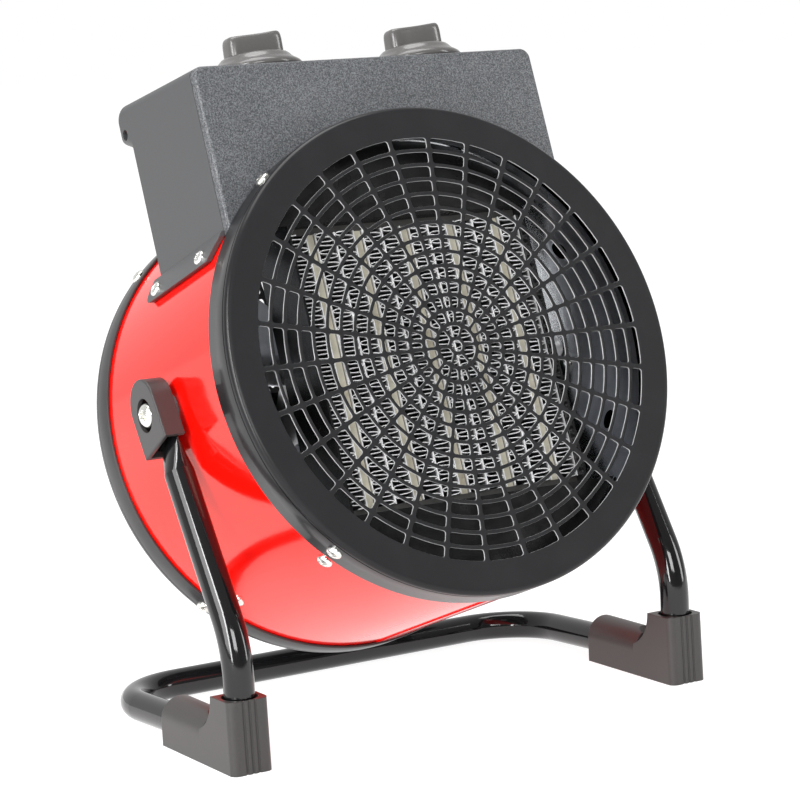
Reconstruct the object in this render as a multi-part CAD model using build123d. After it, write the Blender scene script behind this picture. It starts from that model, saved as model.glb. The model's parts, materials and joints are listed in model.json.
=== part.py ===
from build123d import *

import os
from math import asin, atan2, cos, degrees, hypot, radians, sin, sqrt, tan

# A drum-shaped ceramic fan heater that tilts in a bent tube stand.
# Millimetres and degrees, +Z up. The origin is on the floor under the middle of the heater,
# and the heater blows towards -Y.
# Head parts are drawn in the head frame: X across, Y back from the grille face along the drum,
# Z up, origin at the centre of the grille face. place_head tilts them into the stand.

# Lengths for cutting tools that only have to reach past a part
BEYOND = 400.0
PAST = 1.0

# Driving dimensions: drum and covers
RING_RADIUS = 115.0
DRUM_LENGTH = 153.0
REST_TILT = 20.0
COVER_SHEET = 1.2
DRUM_SHEET = 1.0
COVER_FIT = 0.3
FRONT_FLANGE = 19.0
REAR_FLANGE = 15.5
COVER_EDGE_RADIUS = 2.6
SEAM_WIDTH = 13.0
SEAM_STEP = 0.6
SEAM_ANGLE = 176.0
PART_GAP = 0.2
WIRING_HALF_WIDTH = 30.0
WIRING_FRONT_INSET = 12.0
WIRING_REAR_INSET = 20.0

# Driving dimensions: grilles
GRILLE_BORDER = 15.5
ROW_PITCH = 6.92
ROW_SLOT = 5.2
SPOKE_ROOT = 1.25
SPOKE_GROWTH = 0.011
SPOKES_OUTER = 30
SPOKES_MIDDLE = 18
SPOKES_INNER = 6
CENTRE_HOLE_RADIUS = 2.6
REAR_BORDER = 19.0
REAR_ROW_PITCH = 9.0
REAR_ROW_SLOT = 6.2
REAR_SPOKES = 24
REAR_HUB_RADIUS = 24.0

# Driving dimensions: liner and heating element
LINER_GAP = 7.5
LINER_SHEET = 0.8
LINER_START = 10.0
LINER_REAR_GAP = 14.0
LINER_HOLE_RADIUS = 4.6
LINER_HOLE_ANGLES = (62.5, 111.0)
LINER_HOLE_DEPTH = 36.0
LINER_PIVOT_HOLE = 6.5
TAB_SIZE = 14.0
BAR_COUNT = 5
MODULE_PITCH = 24.9
BAR_THICKNESS = 4.4
PACK_PLATE = 0.4
FIN_SHEET = 0.3
FIN_WAVE = 4.0
BAR_SETBACK = 2.0
ELEMENT_DEPTH_SHARE = 0.157
ELEMENT_FRONT_SHARE = 0.14
ELEMENT_CORNER_GAP = 10.5
FRAME_SHEET = 1.2
FRAME_GAP = 0.3
FRAME_OVERHANG = 5.0
BAFFLE_GAP = 0.6
BRACKET_WIDTH = 14.0
BRACKET_X = 40.0
BRACKET_SHEET = 1.4
BRACKET_SETBACK = 4.0
INSULATOR_HEIGHT = 3.0
INSULATOR_SETBACK = 2.0
TERMINAL_WIDTH = 6.3
TERMINAL_SHEET = 0.8
TERMINAL_GAP = 0.4
TERMINAL_DROP = 6.0
TERMINAL_RISE = 1.5
CUTOUT_RADIUS = 8.0
CUTOUT_HEIGHT = 9.0
CUTOUT_CAP_RADIUS = 5.0
CUTOUT_CAP_HEIGHT = 3.0

# Driving dimensions: fan and motor
FAN_GAP = 12.0
FAN_HUB_RADIUS = 17.0
FAN_HUB_SHARE = 0.13
FAN_HUB_EDGE = 3.0
FAN_BLADES = 5
BLADE_SHEET = 1.4
BLADE_PITCH = 24.0
BLADE_SWEEP = 46.0
BLADE_ROOT_HALF = 5.5
BLADE_ROOT_DEPTH = 4.0
BLADE_TIP_ROUND = 12.0
FAN_NUT_RADIUS = 5.5
FAN_NUT_HEIGHT = 5.0
SHAFT_NOSE = 2.0
SHAFT_TAIL = 4.0
SHAFT_RADIUS = 3.0
SHAFT_FIT = 0.05
MOTOR_RADIUS = 30.0
MOTOR_DEPTH_SHARE = 0.222
MOTOR_REAR_GAP = 23.0
MOTOR_GAP = 8.0
MOTOR_EDGE = 3.0
MOTOR_BOSS_RADIUS = 9.0
MOTOR_BOSS_DEPTH = 4.0
STRIP_SHEET = 1.5
STRIP_HEIGHT = 30.0
STRIP_TAB = 12.0
MOTOR_SCREW_SPACING = 42.0

# Driving dimensions: control box
BOX_WIDTH_SHARE = 0.7957
BOX_RISE = 31.6
BOX_SLOPE = 7.5
BOX_REAR = 95.0
BOX_WALL = 2.5
BOX_CORNER = 5.0
BOX_FRONT_EDGE = 1.8
PANEL_DEPTH = 4.0
PANEL_SEAM = 0.6
LIP_REACH = 13.5
LIP_DROP = 18.5
LIP_WALL = 2.6
LIP_RADIUS = 8.0
LIP_SLANT = 7.4
LIP_LOW_EDGE = 2.5
LIP_END_HOLE = 2.6
LIP_END_HOLE_RISE = 2.5
FLANGE_DROP = 9.5
FLANGE_SHEET = 2.4
FLANGE_REAR = 100.5
FLANGE_CORNER = 6.0
FLANGE_SCREW_DROP = 4.75
KNOB_X = 44.0
KNOB_DEPTH = 47.0
GLAND_X = 55.0
GLAND_RISE = 9.7
GLAND_RADIUS = 9.0
GLAND_BORE = 4.2
GLAND_HEX_RADIUS = 11.0
GLAND_HEX_DEPTH = 6.0
GLAND_NECK_RADIUS = 8.0
GLAND_TAIL = 8.0
GLAND_DOME_DEPTH = 10.0
GLAND_DOME_EDGE = 4.0
BLOCK_WIDTH = 60.0
BLOCK_X = -5.0
BLOCK_RISE = 10.0
BLOCK_HEIGHT = 18.0
BLOCK_DEPTH = 16.0
BLOCK_POLES = 5
BLOCK_PITCH = 12.0
BLOCK_HOLE_RADIUS = 2.6
BLOCK_HOLE_DEPTH = 10.0
BLOCK_HOLE_OFFSET = 4.0

# Driving dimensions: knobs and controls
KNOB_RADIUS = 22.3
KNOB_SKIRT = 5.6
KNOB_TOP_RADIUS = 15.6
KNOB_HEIGHT = 20.4
GRIP_LENGTH = 28.8
GRIP_WIDTH = 13.0
GRIP_CORNER = 5.0
GRIP_DRAFT = 2.0
GRIP_EDGE = 1.6
KNOB_ROOF = 4.0
KNOB_CLEARANCE = 0.8
KNOB_CAVITY_RADIUS = 12.0
KNOB_CAVITY_SPARE = 0.6
CONTROL_SHAFT_RADIUS = 3.0
BUSH_RADIUS = 5.0
BUSH_HEIGHT = 3.0
PANEL_NUT_RADIUS = 7.5
PANEL_NUT_HEIGHT = 2.2
CONTROL_BODY = (36.0, 30.0, 20.0)
SHAFT_DEPTH = 8.0
SHAFT_END_GAP = 0.5
CASE_GAP = 0.2
BUSH_ROOT = 1.0

# Driving dimensions: stand
TUBE_RADIUS = 7.0
TUBE_WALL = 1.3
PIVOT_SHARE = 0.4575
SWEEP_GAP = 10.5
TUBE_NEST = 2.7
FOOT_FORWARD = 62.7
KNEE_HEIGHT = 55.0
RAIL_RISE = 5.0
RAIL_LENGTH = 137.0
KNEE_BEND = 50.0
FOOT_BEND = 20.0
REAR_BEND = 35.0
TANG_SHEET = 3.0
TANG_WIDTH = 20.0
TANG_LENGTH = 13.0
FLATTEN_LENGTH = 17.0
CAP_DEPTH = 10.0
CAP_WALL = 2.0
CAP_RADIUS = 13.0
CAP_CROWN = 4.0
CAP_LENGTH = 16.5
CAP_EDGE = 0.8
CAP_HOLE_GAP = 0.5
CAP_HOLE_STRETCH = 0.5
CAP_HEIGHT_OVER_TANG = 6.2

# Driving dimensions: pivot hardware
BOLT_RADIUS = 3.0
BOLT_HEAD_RADIUS = 6.0
BOLT_HEAD_HEIGHT = 5.5
BOLT_SLOT = 1.3
BOLT_SLOT_DEPTH = 2.0
WASHER_RIM = 0.9
WASHER_SHEET = 2.4
BODY_GAP = 0.3
SADDLE_RADIUS = 8.5
NUT_HEIGHT = 4.0
NUT_RADIUS = 5.8
NUT_PLATE = (30.0, 26.0, 1.5)
NUT_END_GAP = 0.5

# Driving dimensions: feet
FOOT_NOSE = 10.0
FOOT_LENGTH = 70.0
FOOT_HEIGHT = 33.0
FOOT_POST_REAR = 9.0
FOOT_DRAFT = 1.0
FOOT_CORNER = 3.5
COLLAR_WALL = 3.1
FOOT_FIT = 0.15
FOOT_ARC = 18.0
FOOT_ARC_SHORT = 5.4
FOOT_ARC_MIDDLE = 225.0
FOOT_WINDOW = 5.2
FOOT_WINDOW_BACK = 10.0
FOOT_COLLAR_START = 20.0
FOOT_GROOVE = 0.7
FOOT_GROOVE_PITCH = 3.0
FOOT_SOCKET_GAP = 1.2
FOOT_SOCKET_DEPTH = 5.0
FOOT_SCREW_BACK = 46.0
FOOT_SCREW_SEAT = 2.5
FOOT_SCREW_RECESS_GAP = 0.5
FOOT_SCREW_HEAD_HEIGHT = 2.0

# Driving dimensions: screws
SCREW_RADIUS = 2.0
SCREW_HEAD_RADIUS = 3.7
SCREW_HEAD_HEIGHT = 2.2
SCREW_LENGTH = 7.0
SCREW_SLOT = 0.9
SCREW_FIT = 0.1
SCREW_DOME = 0.75
SCREW_CROSS = 1.1
FRONT_SCREWS = tuple((angle, 10.0) for angle in (-40.0, 40.0, -136.0, 136.0))
REAR_SCREW_INSET = 7.5
REAR_SCREW_ANGLES = (-43.0, 43.0, -135.0, 135.0)
DRUM_SCREW_ANGLES = (-137.5, 137.5)
DRUM_SCREW_INSETS = (26.0, 34.0)
FLANGE_SCREW_DEPTHS = (40.0, 90.0)

# Derived dimensions
DRUM_RADIUS = RING_RADIUS - COVER_SHEET - COVER_FIT
DRUM_INNER = DRUM_RADIUS - DRUM_SHEET
LINER_RADIUS = DRUM_INNER - LINER_GAP
LINER_INNER = LINER_RADIUS - LINER_SHEET
LINER_END = DRUM_LENGTH - LINER_REAR_GAP
DRUM_SCREW_DEPTHS = (DRUM_SCREW_INSETS[0], DRUM_LENGTH - DRUM_SCREW_INSETS[1])
ELEMENT_FRONT = DRUM_LENGTH * ELEMENT_FRONT_SHARE
ELEMENT_DEPTH = DRUM_LENGTH * ELEMENT_DEPTH_SHARE
ELEMENT_REAR = ELEMENT_FRONT + ELEMENT_DEPTH
ELEMENT_HALF_WIDTH = BAR_COUNT * MODULE_PITCH / 2
FRAME_HALF_WIDTH = ELEMENT_HALF_WIDTH + FRAME_GAP + FRAME_SHEET
FRAME_HALF_HEIGHT = sqrt((LINER_INNER - ELEMENT_CORNER_GAP) ** 2 - FRAME_HALF_WIDTH ** 2)
ELEMENT_HALF_HEIGHT = FRAME_HALF_HEIGHT - FRAME_SHEET - FRAME_GAP - INSULATOR_HEIGHT
MOTOR_REAR = DRUM_LENGTH - MOTOR_REAR_GAP
MOTOR_FRONT = MOTOR_REAR - DRUM_LENGTH * MOTOR_DEPTH_SHARE
FAN_REAR = MOTOR_FRONT - MOTOR_GAP
FAN_FRONT = FAN_REAR - DRUM_LENGTH * FAN_HUB_SHARE
FAN_RADIUS = LINER_INNER - FAN_GAP
BOX_FIT = DRUM_RADIUS + COVER_FIT
BOX_FRONT = FRONT_FLANGE + COVER_FIT
BOX_TOP = RING_RADIUS + BOX_RISE
BOX_HALF_WIDTH = RING_RADIUS * BOX_WIDTH_SHARE
SHELL_FRONT = BOX_FRONT + PANEL_DEPTH + PANEL_SEAM
FLANGE_TOP = sqrt(BOX_FIT ** 2 - BOX_HALF_WIDTH ** 2)
FLANGE_BOTTOM = FLANGE_TOP - FLANGE_DROP
FLANGE_RADIUS = BOX_FIT + FLANGE_SHEET
FLANGE_SCREW_ANGLE = 90 - degrees(asin((FLANGE_TOP - FLANGE_SCREW_DROP) / FLANGE_RADIUS))
GLAND_HEIGHT = sqrt(BOX_FIT ** 2 - (GLAND_X - GLAND_HEX_RADIUS) ** 2) + GLAND_RISE
KNOB_CAVITY_DEPTH = BUSH_HEIGHT + KNOB_CAVITY_SPARE
PIVOT_DEPTH = DRUM_LENGTH * PIVOT_SHARE
SWEEP_RADIUS = hypot(DRUM_LENGTH - PIVOT_DEPTH, RING_RADIUS)
PIVOT_HEIGHT = SWEEP_RADIUS + SWEEP_GAP
AXIS_HEIGHT = PIVOT_HEIGHT + PIVOT_DEPTH * sin(radians(REST_TILT))
FACE_Y = -DRUM_LENGTH * cos(radians(REST_TILT)) / 2
PIVOT_Y = FACE_Y + PIVOT_DEPTH * cos(radians(REST_TILT))
UPRIGHT_X = RING_RADIUS + TUBE_RADIUS - TUBE_NEST
FOOT_Y = PIVOT_Y - FOOT_FORWARD
TANG_INNER = UPRIGHT_X - TANG_SHEET / 2
TANG_OUTER = UPRIGHT_X + TANG_SHEET / 2
CAP_OUTER = TANG_OUTER + CAP_HEIGHT_OVER_TANG
WASHER_RADIUS = BOLT_HEAD_RADIUS + WASHER_RIM
RAIL_HEIGHT = TUBE_RADIUS + RAIL_RISE
COLLAR_RADIUS = TUBE_RADIUS + COLLAR_WALL
SIDES = (-1, 1)


def block(x, y, z):
    """A box between the low and high values of each axis."""
    centre = [(low + high) / 2 for low, high in (x, y, z)]
    size = [high - low for low, high in (x, y, z)]
    return Pos(*centre) * Box(*size)


def facing_back(y, x=0.0, z=0.0):
    """A drawing plane across the drum at depth y that looks towards the rear."""
    return Plane(origin=(x, y, z), x_dir=(1, 0, 0), z_dir=(0, 1, 0))


def disc(radius, y0, y1, x=0.0, z=0.0):
    """A cylinder along the drum."""
    return extrude(facing_back(y0, x, z) * Circle(radius), y1 - y0)


def hoop(outer, inner, y0, y1):
    """A tube along the drum."""
    return disc(outer, y0, y1) - disc(inner, y0 - PAST, y1 + PAST)


def radial_plane(radius, angle, y):
    """A plane whose normal points outwards, at an angle from the top of the drum."""
    outwards = (sin(radians(angle)), 0, cos(radians(angle)))
    return Plane(origin=(radius * outwards[0], y, radius * outwards[2]), x_dir=(0, 1, 0), z_dir=outwards)


def radial_hole(radius, angle, y, hole, depth):
    """A drill through the wall at radius, from outside it to depth below it."""
    return radial_plane(radius - depth, angle, y) * extrude(Circle(hole), depth + 2 * SCREW_HEAD_HEIGHT)


def pan_screw(height=SCREW_HEAD_HEIGHT):
    """A cross-recessed pan head screw, head on top of the XY plane."""
    cap = extrude(Circle(SCREW_HEAD_RADIUS), height)
    cap = fillet(cap.edges().group_by(Axis.Z)[-1], height * SCREW_DOME)
    shank = Pos(0, 0, -SCREW_LENGTH) * extrude(Circle(SCREW_RADIUS), SCREW_LENGTH)
    across = SCREW_HEAD_RADIUS * SCREW_CROSS
    recess = Box(across, SCREW_SLOT, height) + Box(SCREW_SLOT, across, height)
    return cap + shank - Pos(0, 0, height) * recess


def place_head(shapes):
    """Tilt head parts into the stand."""
    where = Location((0, FACE_Y, AXIS_HEIGHT), (-REST_TILT, 0, 0))
    return [where * shape for shape in shapes]


def save(name, shapes):
    """Write one node."""
    export_step(Compound([solid for shape in shapes for solid in shape.solids()]), f"parts/{name}.step")


# Covers and drum

def slot_wire(inner, outer, spokes):
    """The rim of one grille slot, symmetric about the local X axis."""
    half_in = radians(180 / spokes) - asin((SPOKE_ROOT + SPOKE_GROWTH * inner) / 2 / inner)
    half_out = radians(180 / spokes) - asin((SPOKE_ROOT + SPOKE_GROWTH * outer) / 2 / outer)
    low_in = Vector(inner * cos(half_in), -inner * sin(half_in))
    high_in = Vector(inner * cos(half_in), inner * sin(half_in))
    low_out = Vector(outer * cos(half_out), -outer * sin(half_out))
    high_out = Vector(outer * cos(half_out), outer * sin(half_out))
    return Wire([
        ThreePointArc(low_in, (inner, 0), high_in),
        Line(high_in, high_out),
        ThreePointArc(high_out, (outer, 0), low_out),
        Line(low_out, low_in),
    ])


def slotted_plate(radius, rows, y0, sheet, centre_hole):
    """A round plate with rings of slots; rows holds (inner, outer, spokes) for each ring."""
    holes = []
    for inner, outer, spokes in rows:
        wire = slot_wire(inner, outer, spokes)
        for step in range(spokes):
            holes.append(Rot(0, 0, 90 + 360 * step / spokes) * wire)
    if centre_hole:
        holes.append(Wire.make_circle(centre_hole))
    face = Face(Wire.make_circle(radius), holes)
    return facing_back(y0) * extrude(face, sheet)


def front_rows():
    """Slot rings of the front grille, from the border in."""
    rows = []
    outer = RING_RADIUS - GRILLE_BORDER
    while outer - ROW_SLOT > CENTRE_HOLE_RADIUS + SPOKE_ROOT:
        index_from_centre = round((outer - ROW_SLOT) / ROW_PITCH)
        spokes = {1: SPOKES_INNER, 2: SPOKES_MIDDLE}.get(index_from_centre, SPOKES_OUTER)
        rows.append((outer - ROW_SLOT, outer, spokes))
        outer -= ROW_PITCH
    return rows


def rear_rows():
    """Slot rings of the rear grille, from the border in."""
    rows = []
    outer = RING_RADIUS - REAR_BORDER
    while outer - REAR_ROW_SLOT > REAR_HUB_RADIUS:
        rows.append((outer - REAR_ROW_SLOT, outer, REAR_SPOKES))
        outer -= REAR_ROW_PITCH
    return rows


def cover(rows, flange, centre_hole, screws):
    """A drawn sheet cover: a slotted face and a rolled flange, face at y = 0."""
    seat = RING_RADIUS - COVER_EDGE_RADIUS - PAST
    rim = disc(RING_RADIUS, 0, flange) - disc(RING_RADIUS - COVER_SHEET, COVER_SHEET, flange + PAST)
    rim = fillet(rim.edges().group_by(Axis.Y)[0], COVER_EDGE_RADIUS)
    rim -= disc(seat, -PAST, COVER_SHEET + PAST)
    part = rim + slotted_plate(seat, rows, 0, COVER_SHEET, centre_hole)
    for angle, y in screws:
        part -= radial_hole(RING_RADIUS, angle, y, SCREW_RADIUS + SCREW_FIT, 2 * COVER_SHEET)
    return part


def front_grille():
    """The front grille."""
    return cover(front_rows(), FRONT_FLANGE, CENTRE_HOLE_RADIUS, FRONT_SCREWS)


def rear_grille():
    """The rear grille, a cover turned to face the rear."""
    screws = [(-angle, REAR_SCREW_INSET) for angle in REAR_SCREW_ANGLES]
    part = cover(rear_rows(), REAR_FLANGE, 0, screws)
    return Pos(0, DRUM_LENGTH, 0) * Rot(0, 0, 180) * part


def screw_places():
    """Every radial screw of the head: group, seat radius, angle, depth."""
    rear = DRUM_LENGTH - REAR_SCREW_INSET
    places = [("front", RING_RADIUS, angle, y) for angle, y in FRONT_SCREWS]
    places += [("rear", RING_RADIUS, angle, rear) for angle in REAR_SCREW_ANGLES]
    places += [("drum", DRUM_RADIUS, angle, y) for angle in DRUM_SCREW_ANGLES for y in DRUM_SCREW_DEPTHS]
    for side in SIDES:
        places += [("box", FLANGE_RADIUS, side * FLANGE_SCREW_ANGLE, y) for y in FLANGE_SCREW_DEPTHS]
    return places


def radial_screws(group):
    """The screws of one group."""
    return [radial_plane(r, a, y) * pan_screw() for name, r, a, y in screw_places() if name == group]


def drum_shell():
    """The rolled drum with its lapped seam, pivot holes, screw holes and wiring opening."""
    ends = (COVER_SHEET + COVER_FIT, DRUM_LENGTH - COVER_SHEET - COVER_FIT)
    lap_ends = (FRONT_FLANGE + PAST, DRUM_LENGTH - REAR_FLANGE - PAST)
    shell = hoop(DRUM_RADIUS, DRUM_INNER, *ends)
    half_lap = SEAM_WIDTH / 2
    lap = radial_plane(0, SEAM_ANGLE, 0) * block(lap_ends, (-half_lap, half_lap), (0, RING_RADIUS))
    shell += hoop(DRUM_RADIUS + SEAM_STEP, DRUM_INNER, *lap_ends) & lap
    for _, radius, angle, y in screw_places():
        shell -= radial_hole(radius, angle, y, SCREW_RADIUS + SCREW_FIT, SCREW_LENGTH + PAST)
    for side in SIDES:
        shell -= radial_hole(DRUM_RADIUS, 90 * side, PIVOT_DEPTH, BOLT_RADIUS + SCREW_FIT, 2 * BOLT_RADIUS)
    wiring = block(
        (-WIRING_HALF_WIDTH, WIRING_HALF_WIDTH),
        (BOX_FRONT + WIRING_FRONT_INSET, BOX_REAR - WIRING_REAR_INSET),
        (LINER_RADIUS, BOX_TOP),
    )
    return shell - wiring


def inner_liner():
    """The bright duct liner, with round holes and bent tabs that the drum screws hold."""
    liner = hoop(LINER_RADIUS, LINER_INNER, LINER_START, LINER_END)
    square = (-TAB_SIZE / 2, TAB_SIZE / 2)
    through = 2 * LINER_SHEET
    for angle in DRUM_SCREW_ANGLES:
        for y in DRUM_SCREW_DEPTHS:
            tab = radial_plane(0, angle, y) * block(square, square, (0, DRUM_RADIUS))
            liner += hoop(DRUM_INNER - PART_GAP, LINER_INNER, LINER_START, LINER_END) & tab
            liner -= radial_hole(DRUM_RADIUS, angle, y, SCREW_RADIUS + SCREW_FIT, SCREW_LENGTH + PAST)
    for side in SIDES:
        for angle in LINER_HOLE_ANGLES:
            liner -= radial_hole(LINER_RADIUS, side * angle, LINER_HOLE_DEPTH, LINER_HOLE_RADIUS, through)
        liner -= radial_hole(LINER_RADIUS, side * 90, PIVOT_DEPTH, LINER_PIVOT_HOLE, through)
    return liner


# Heating element

def bar_places():
    """The middle of every heating bar across the element."""
    middle = (BAR_COUNT - 1) / 2
    return [(index - middle) * MODULE_PITCH for index in range(BAR_COUNT)]


def ptc_bars():
    """The ceramic heating bars."""
    half = BAR_THICKNESS / 2
    depth = (ELEMENT_FRONT + BAR_SETBACK, ELEMENT_REAR - BAR_SETBACK)
    bar = block((-half, half), depth, (-ELEMENT_HALF_HEIGHT, ELEMENT_HALF_HEIGHT))
    return [Pos(x, 0, 0) * bar for x in bar_places()]


def fin_pack():
    """One corrugated fin strip between its two side plates, from x = 0 to its width."""
    width = (MODULE_PITCH - BAR_THICKNESS) / 2
    rise = FIN_WAVE / 2
    legs = 2 * int(ELEMENT_HALF_HEIGHT / rise)
    start = -legs * rise / 2
    near, far = PACK_PLATE, width - PACK_PLATE
    fold = FIN_SHEET * (far - near) / rise
    one_side = [(near if leg % 2 == 0 else far - fold, start + leg * rise) for leg in range(legs + 1)]
    other_side = [(x + fold, z) for x, z in reversed(one_side)]
    zigzag = make_face(Polyline(*one_side, *other_side, close=True))
    strip = facing_back(ELEMENT_FRONT) * extrude(mirror(zigzag, Plane.XZ), ELEMENT_DEPTH)
    height = (-ELEMENT_HALF_HEIGHT, ELEMENT_HALF_HEIGHT)
    plates = [block(x, (ELEMENT_FRONT, ELEMENT_REAR), height) for x in ((0, near), (far, width))]
    return [strip] + plates


def fin_packs():
    """A fin pack on each side of every bar."""
    packs = []
    for x in bar_places():
        for left in (x + BAR_THICKNESS / 2, x - MODULE_PITCH / 2):
            packs += [Pos(left, 0, 0) * piece for piece in fin_pack()]
    return packs


def element_frame():
    """The stamped frame round the element, and the baffles that close the drum above and below it."""
    y0, y1 = ELEMENT_FRONT - FRAME_OVERHANG, ELEMENT_REAR + FRAME_OVERHANG
    outer = block((-FRAME_HALF_WIDTH, FRAME_HALF_WIDTH), (y0, y1), (-FRAME_HALF_HEIGHT, FRAME_HALF_HEIGHT))
    wide, tall = FRAME_HALF_WIDTH - FRAME_SHEET, FRAME_HALF_HEIGHT - FRAME_SHEET
    baffles = disc(LINER_INNER - BAFFLE_GAP, y0, y0 + FRAME_SHEET)
    baffles -= block((-BEYOND, BEYOND), (y0 - PAST, y1), (-tall, tall))
    return outer + baffles - block((-wide, wide), (y0 - PAST, y1 + PAST), (-tall, tall))


def element_insulators():
    """Ceramic strips that carry the bars' ends in the frame."""
    wide = FRAME_HALF_WIDTH - FRAME_SHEET
    depth = (ELEMENT_FRONT + INSULATOR_SETBACK, ELEMENT_REAR - INSULATOR_SETBACK)
    top = block((-wide, wide), depth, (ELEMENT_HALF_HEIGHT, FRAME_HALF_HEIGHT - FRAME_SHEET))
    return [top, mirror(top, Plane.XY)]


def element_brackets():
    """Four sheet strips between the frame and the liner, each with a flat and a curved shoe."""
    front = ELEMENT_FRONT + BRACKET_SETBACK
    depth = (front, front + BRACKET_WIDTH)
    half_shoe, half_sheet = BRACKET_WIDTH / 2, BRACKET_SHEET / 2
    reach = LINER_INNER - PART_GAP
    curve = hoop(reach, reach - BRACKET_SHEET, *depth)
    strips = []
    for side in SIDES:
        x = side * BRACKET_X
        post = block((x - half_sheet, x + half_sheet), depth, (FRAME_HALF_HEIGHT, LINER_INNER))
        post = post & disc(reach, *depth)
        wide = (x - half_shoe, x + half_shoe)
        flat_shoe = block(wide, depth, (FRAME_HALF_HEIGHT, FRAME_HALF_HEIGHT + BRACKET_SHEET))
        curved_shoe = curve & block(wide, depth, (0, LINER_INNER))
        strip = post + flat_shoe + curved_shoe
        strips += [strip, mirror(strip, Plane.XY)]
    return strips


def element_terminals():
    """Tab terminals behind the bars' upper ends."""
    half = TERMINAL_WIDTH / 2
    back = ELEMENT_REAR + TERMINAL_GAP
    height = (ELEMENT_HALF_HEIGHT - TERMINAL_DROP, ELEMENT_HALF_HEIGHT + TERMINAL_RISE)
    return [block((x - half, x + half), (back, back + TERMINAL_SHEET), height) for x in bar_places()]


def thermal_cutout():
    """The snap-disc cut-out on the frame's side."""
    plane = Plane(origin=(FRAME_HALF_WIDTH, ELEMENT_FRONT + ELEMENT_DEPTH / 2, 0), z_dir=(1, 0, 0))
    case = extrude(Circle(CUTOUT_RADIUS), CUTOUT_HEIGHT)
    cap = extrude(Circle(CUTOUT_CAP_RADIUS), CUTOUT_HEIGHT + CUTOUT_CAP_HEIGHT)
    return plane * (case + cap)


# Fan and motor

def fan_blade():
    """The axial fan: a hub and pitched blades with rounded tips."""
    middle = (FAN_FRONT + FAN_REAR) / 2
    hub = disc(FAN_HUB_RADIUS, FAN_FRONT, FAN_REAR)
    hub = fillet(hub.edges().group_by(Axis.Y)[0], FAN_HUB_EDGE)
    tip_x = FAN_RADIUS * sin(radians(BLADE_SWEEP / 2))
    tip_y = FAN_RADIUS * cos(radians(BLADE_SWEEP / 2))
    root_x, root_y = BLADE_ROOT_HALF, FAN_HUB_RADIUS - BLADE_ROOT_DEPTH
    outline = [
        Line((-root_x, root_y), (-tip_x, tip_y)),
        ThreePointArc((-tip_x, tip_y), (0, FAN_RADIUS), (tip_x, tip_y)),
        Line((tip_x, tip_y), (root_x, root_y)),
        Line((root_x, root_y), (-root_x, root_y)),
    ]
    planform = fillet(make_face(outline).vertices().sort_by(Axis.Y)[-2:], BLADE_TIP_ROUND)
    flat = Plane(origin=(0, BLADE_SHEET / 2, 0), x_dir=(1, 0, 0), z_dir=(0, -1, 0))
    blade = Pos(0, middle, 0) * Rot(0, 0, BLADE_PITCH) * (flat * extrude(planform, BLADE_SHEET))
    fan = hub
    for index in range(FAN_BLADES):
        fan += Rot(0, 360 * index / FAN_BLADES, 0) * blade
    return fan - disc(SHAFT_RADIUS, FAN_FRONT - PAST, FAN_REAR + PAST)


def motor_shaft():
    """The motor's shaft, from in front of the hub nut to the rear bearing."""
    return disc(SHAFT_RADIUS, FAN_FRONT - FAN_NUT_HEIGHT - SHAFT_NOSE, MOTOR_REAR - SHAFT_TAIL)


def fan_nut():
    """The nut that holds the fan on its shaft."""
    front = FAN_FRONT - FAN_NUT_HEIGHT
    hexagon = extrude(facing_back(front) * RegularPolygon(FAN_NUT_RADIUS, 6), FAN_NUT_HEIGHT)
    return hexagon - disc(SHAFT_RADIUS, front - PAST, FAN_FRONT + PAST)


def fan_motor():
    """The motor can with its front bearing boss."""
    can = disc(MOTOR_RADIUS, MOTOR_FRONT, MOTOR_REAR)
    can = fillet(can.edges().filter_by(GeomType.CIRCLE), MOTOR_EDGE)
    boss_front = MOTOR_FRONT - MOTOR_BOSS_DEPTH
    can += disc(MOTOR_BOSS_RADIUS, boss_front, MOTOR_FRONT + PAST)
    can -= disc(SHAFT_RADIUS + SHAFT_FIT, boss_front - PAST, MOTOR_REAR - SHAFT_TAIL + BODY_GAP)
    for side in SIDES:
        x = side * MOTOR_SCREW_SPACING / 2
        can -= disc(SCREW_RADIUS + SCREW_FIT, MOTOR_REAR - SCREW_LENGTH, MOTOR_REAR + PAST, x)
    return can


def motor_bracket():
    """The strip behind the motor, its ends bent forward onto the liner."""
    reach = LINER_INNER - PART_GAP
    tab_front, rear = MOTOR_REAR - STRIP_TAB, MOTOR_REAR + STRIP_SHEET
    band = block((-reach, reach), (tab_front, rear), (-STRIP_HEIGHT / 2, STRIP_HEIGHT / 2))
    strip = band & disc(reach, MOTOR_REAR, rear)
    tabs = band & hoop(reach, reach - STRIP_SHEET, tab_front, rear)
    bracket = strip + tabs
    for side in SIDES:
        x = side * MOTOR_SCREW_SPACING / 2
        bracket -= disc(SCREW_RADIUS + SCREW_FIT, MOTOR_REAR - PAST, rear + PAST, x)
    return bracket


def motor_screws():
    """Two screws through the strip into the motor."""
    seat = MOTOR_REAR + STRIP_SHEET
    return [facing_back(seat, side * MOTOR_SCREW_SPACING / 2) * pan_screw() for side in SIDES]


# Control box

def top_height(y):
    """Height of the sloping top of the control box at depth y."""
    return BOX_TOP + (y - BOX_FRONT) * tan(radians(BOX_SLOPE))


def top_plane(x, y):
    """A plane on the sloping top with its normal out of the box."""
    slope = radians(BOX_SLOPE)
    return Plane(origin=(x, y, top_height(y)), x_dir=(1, 0, 0), z_dir=(0, -sin(slope), cos(slope)))


def side_profile(points, half_width):
    """Extrude an outline of (y, z) points to both sides of the middle."""
    face = Plane(origin=(-half_width, 0, 0), x_dir=(0, 1, 0), z_dir=(1, 0, 0)) * make_face(
        Polyline(*points, close=True)
    )
    return extrude(face, 2 * half_width)


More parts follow.
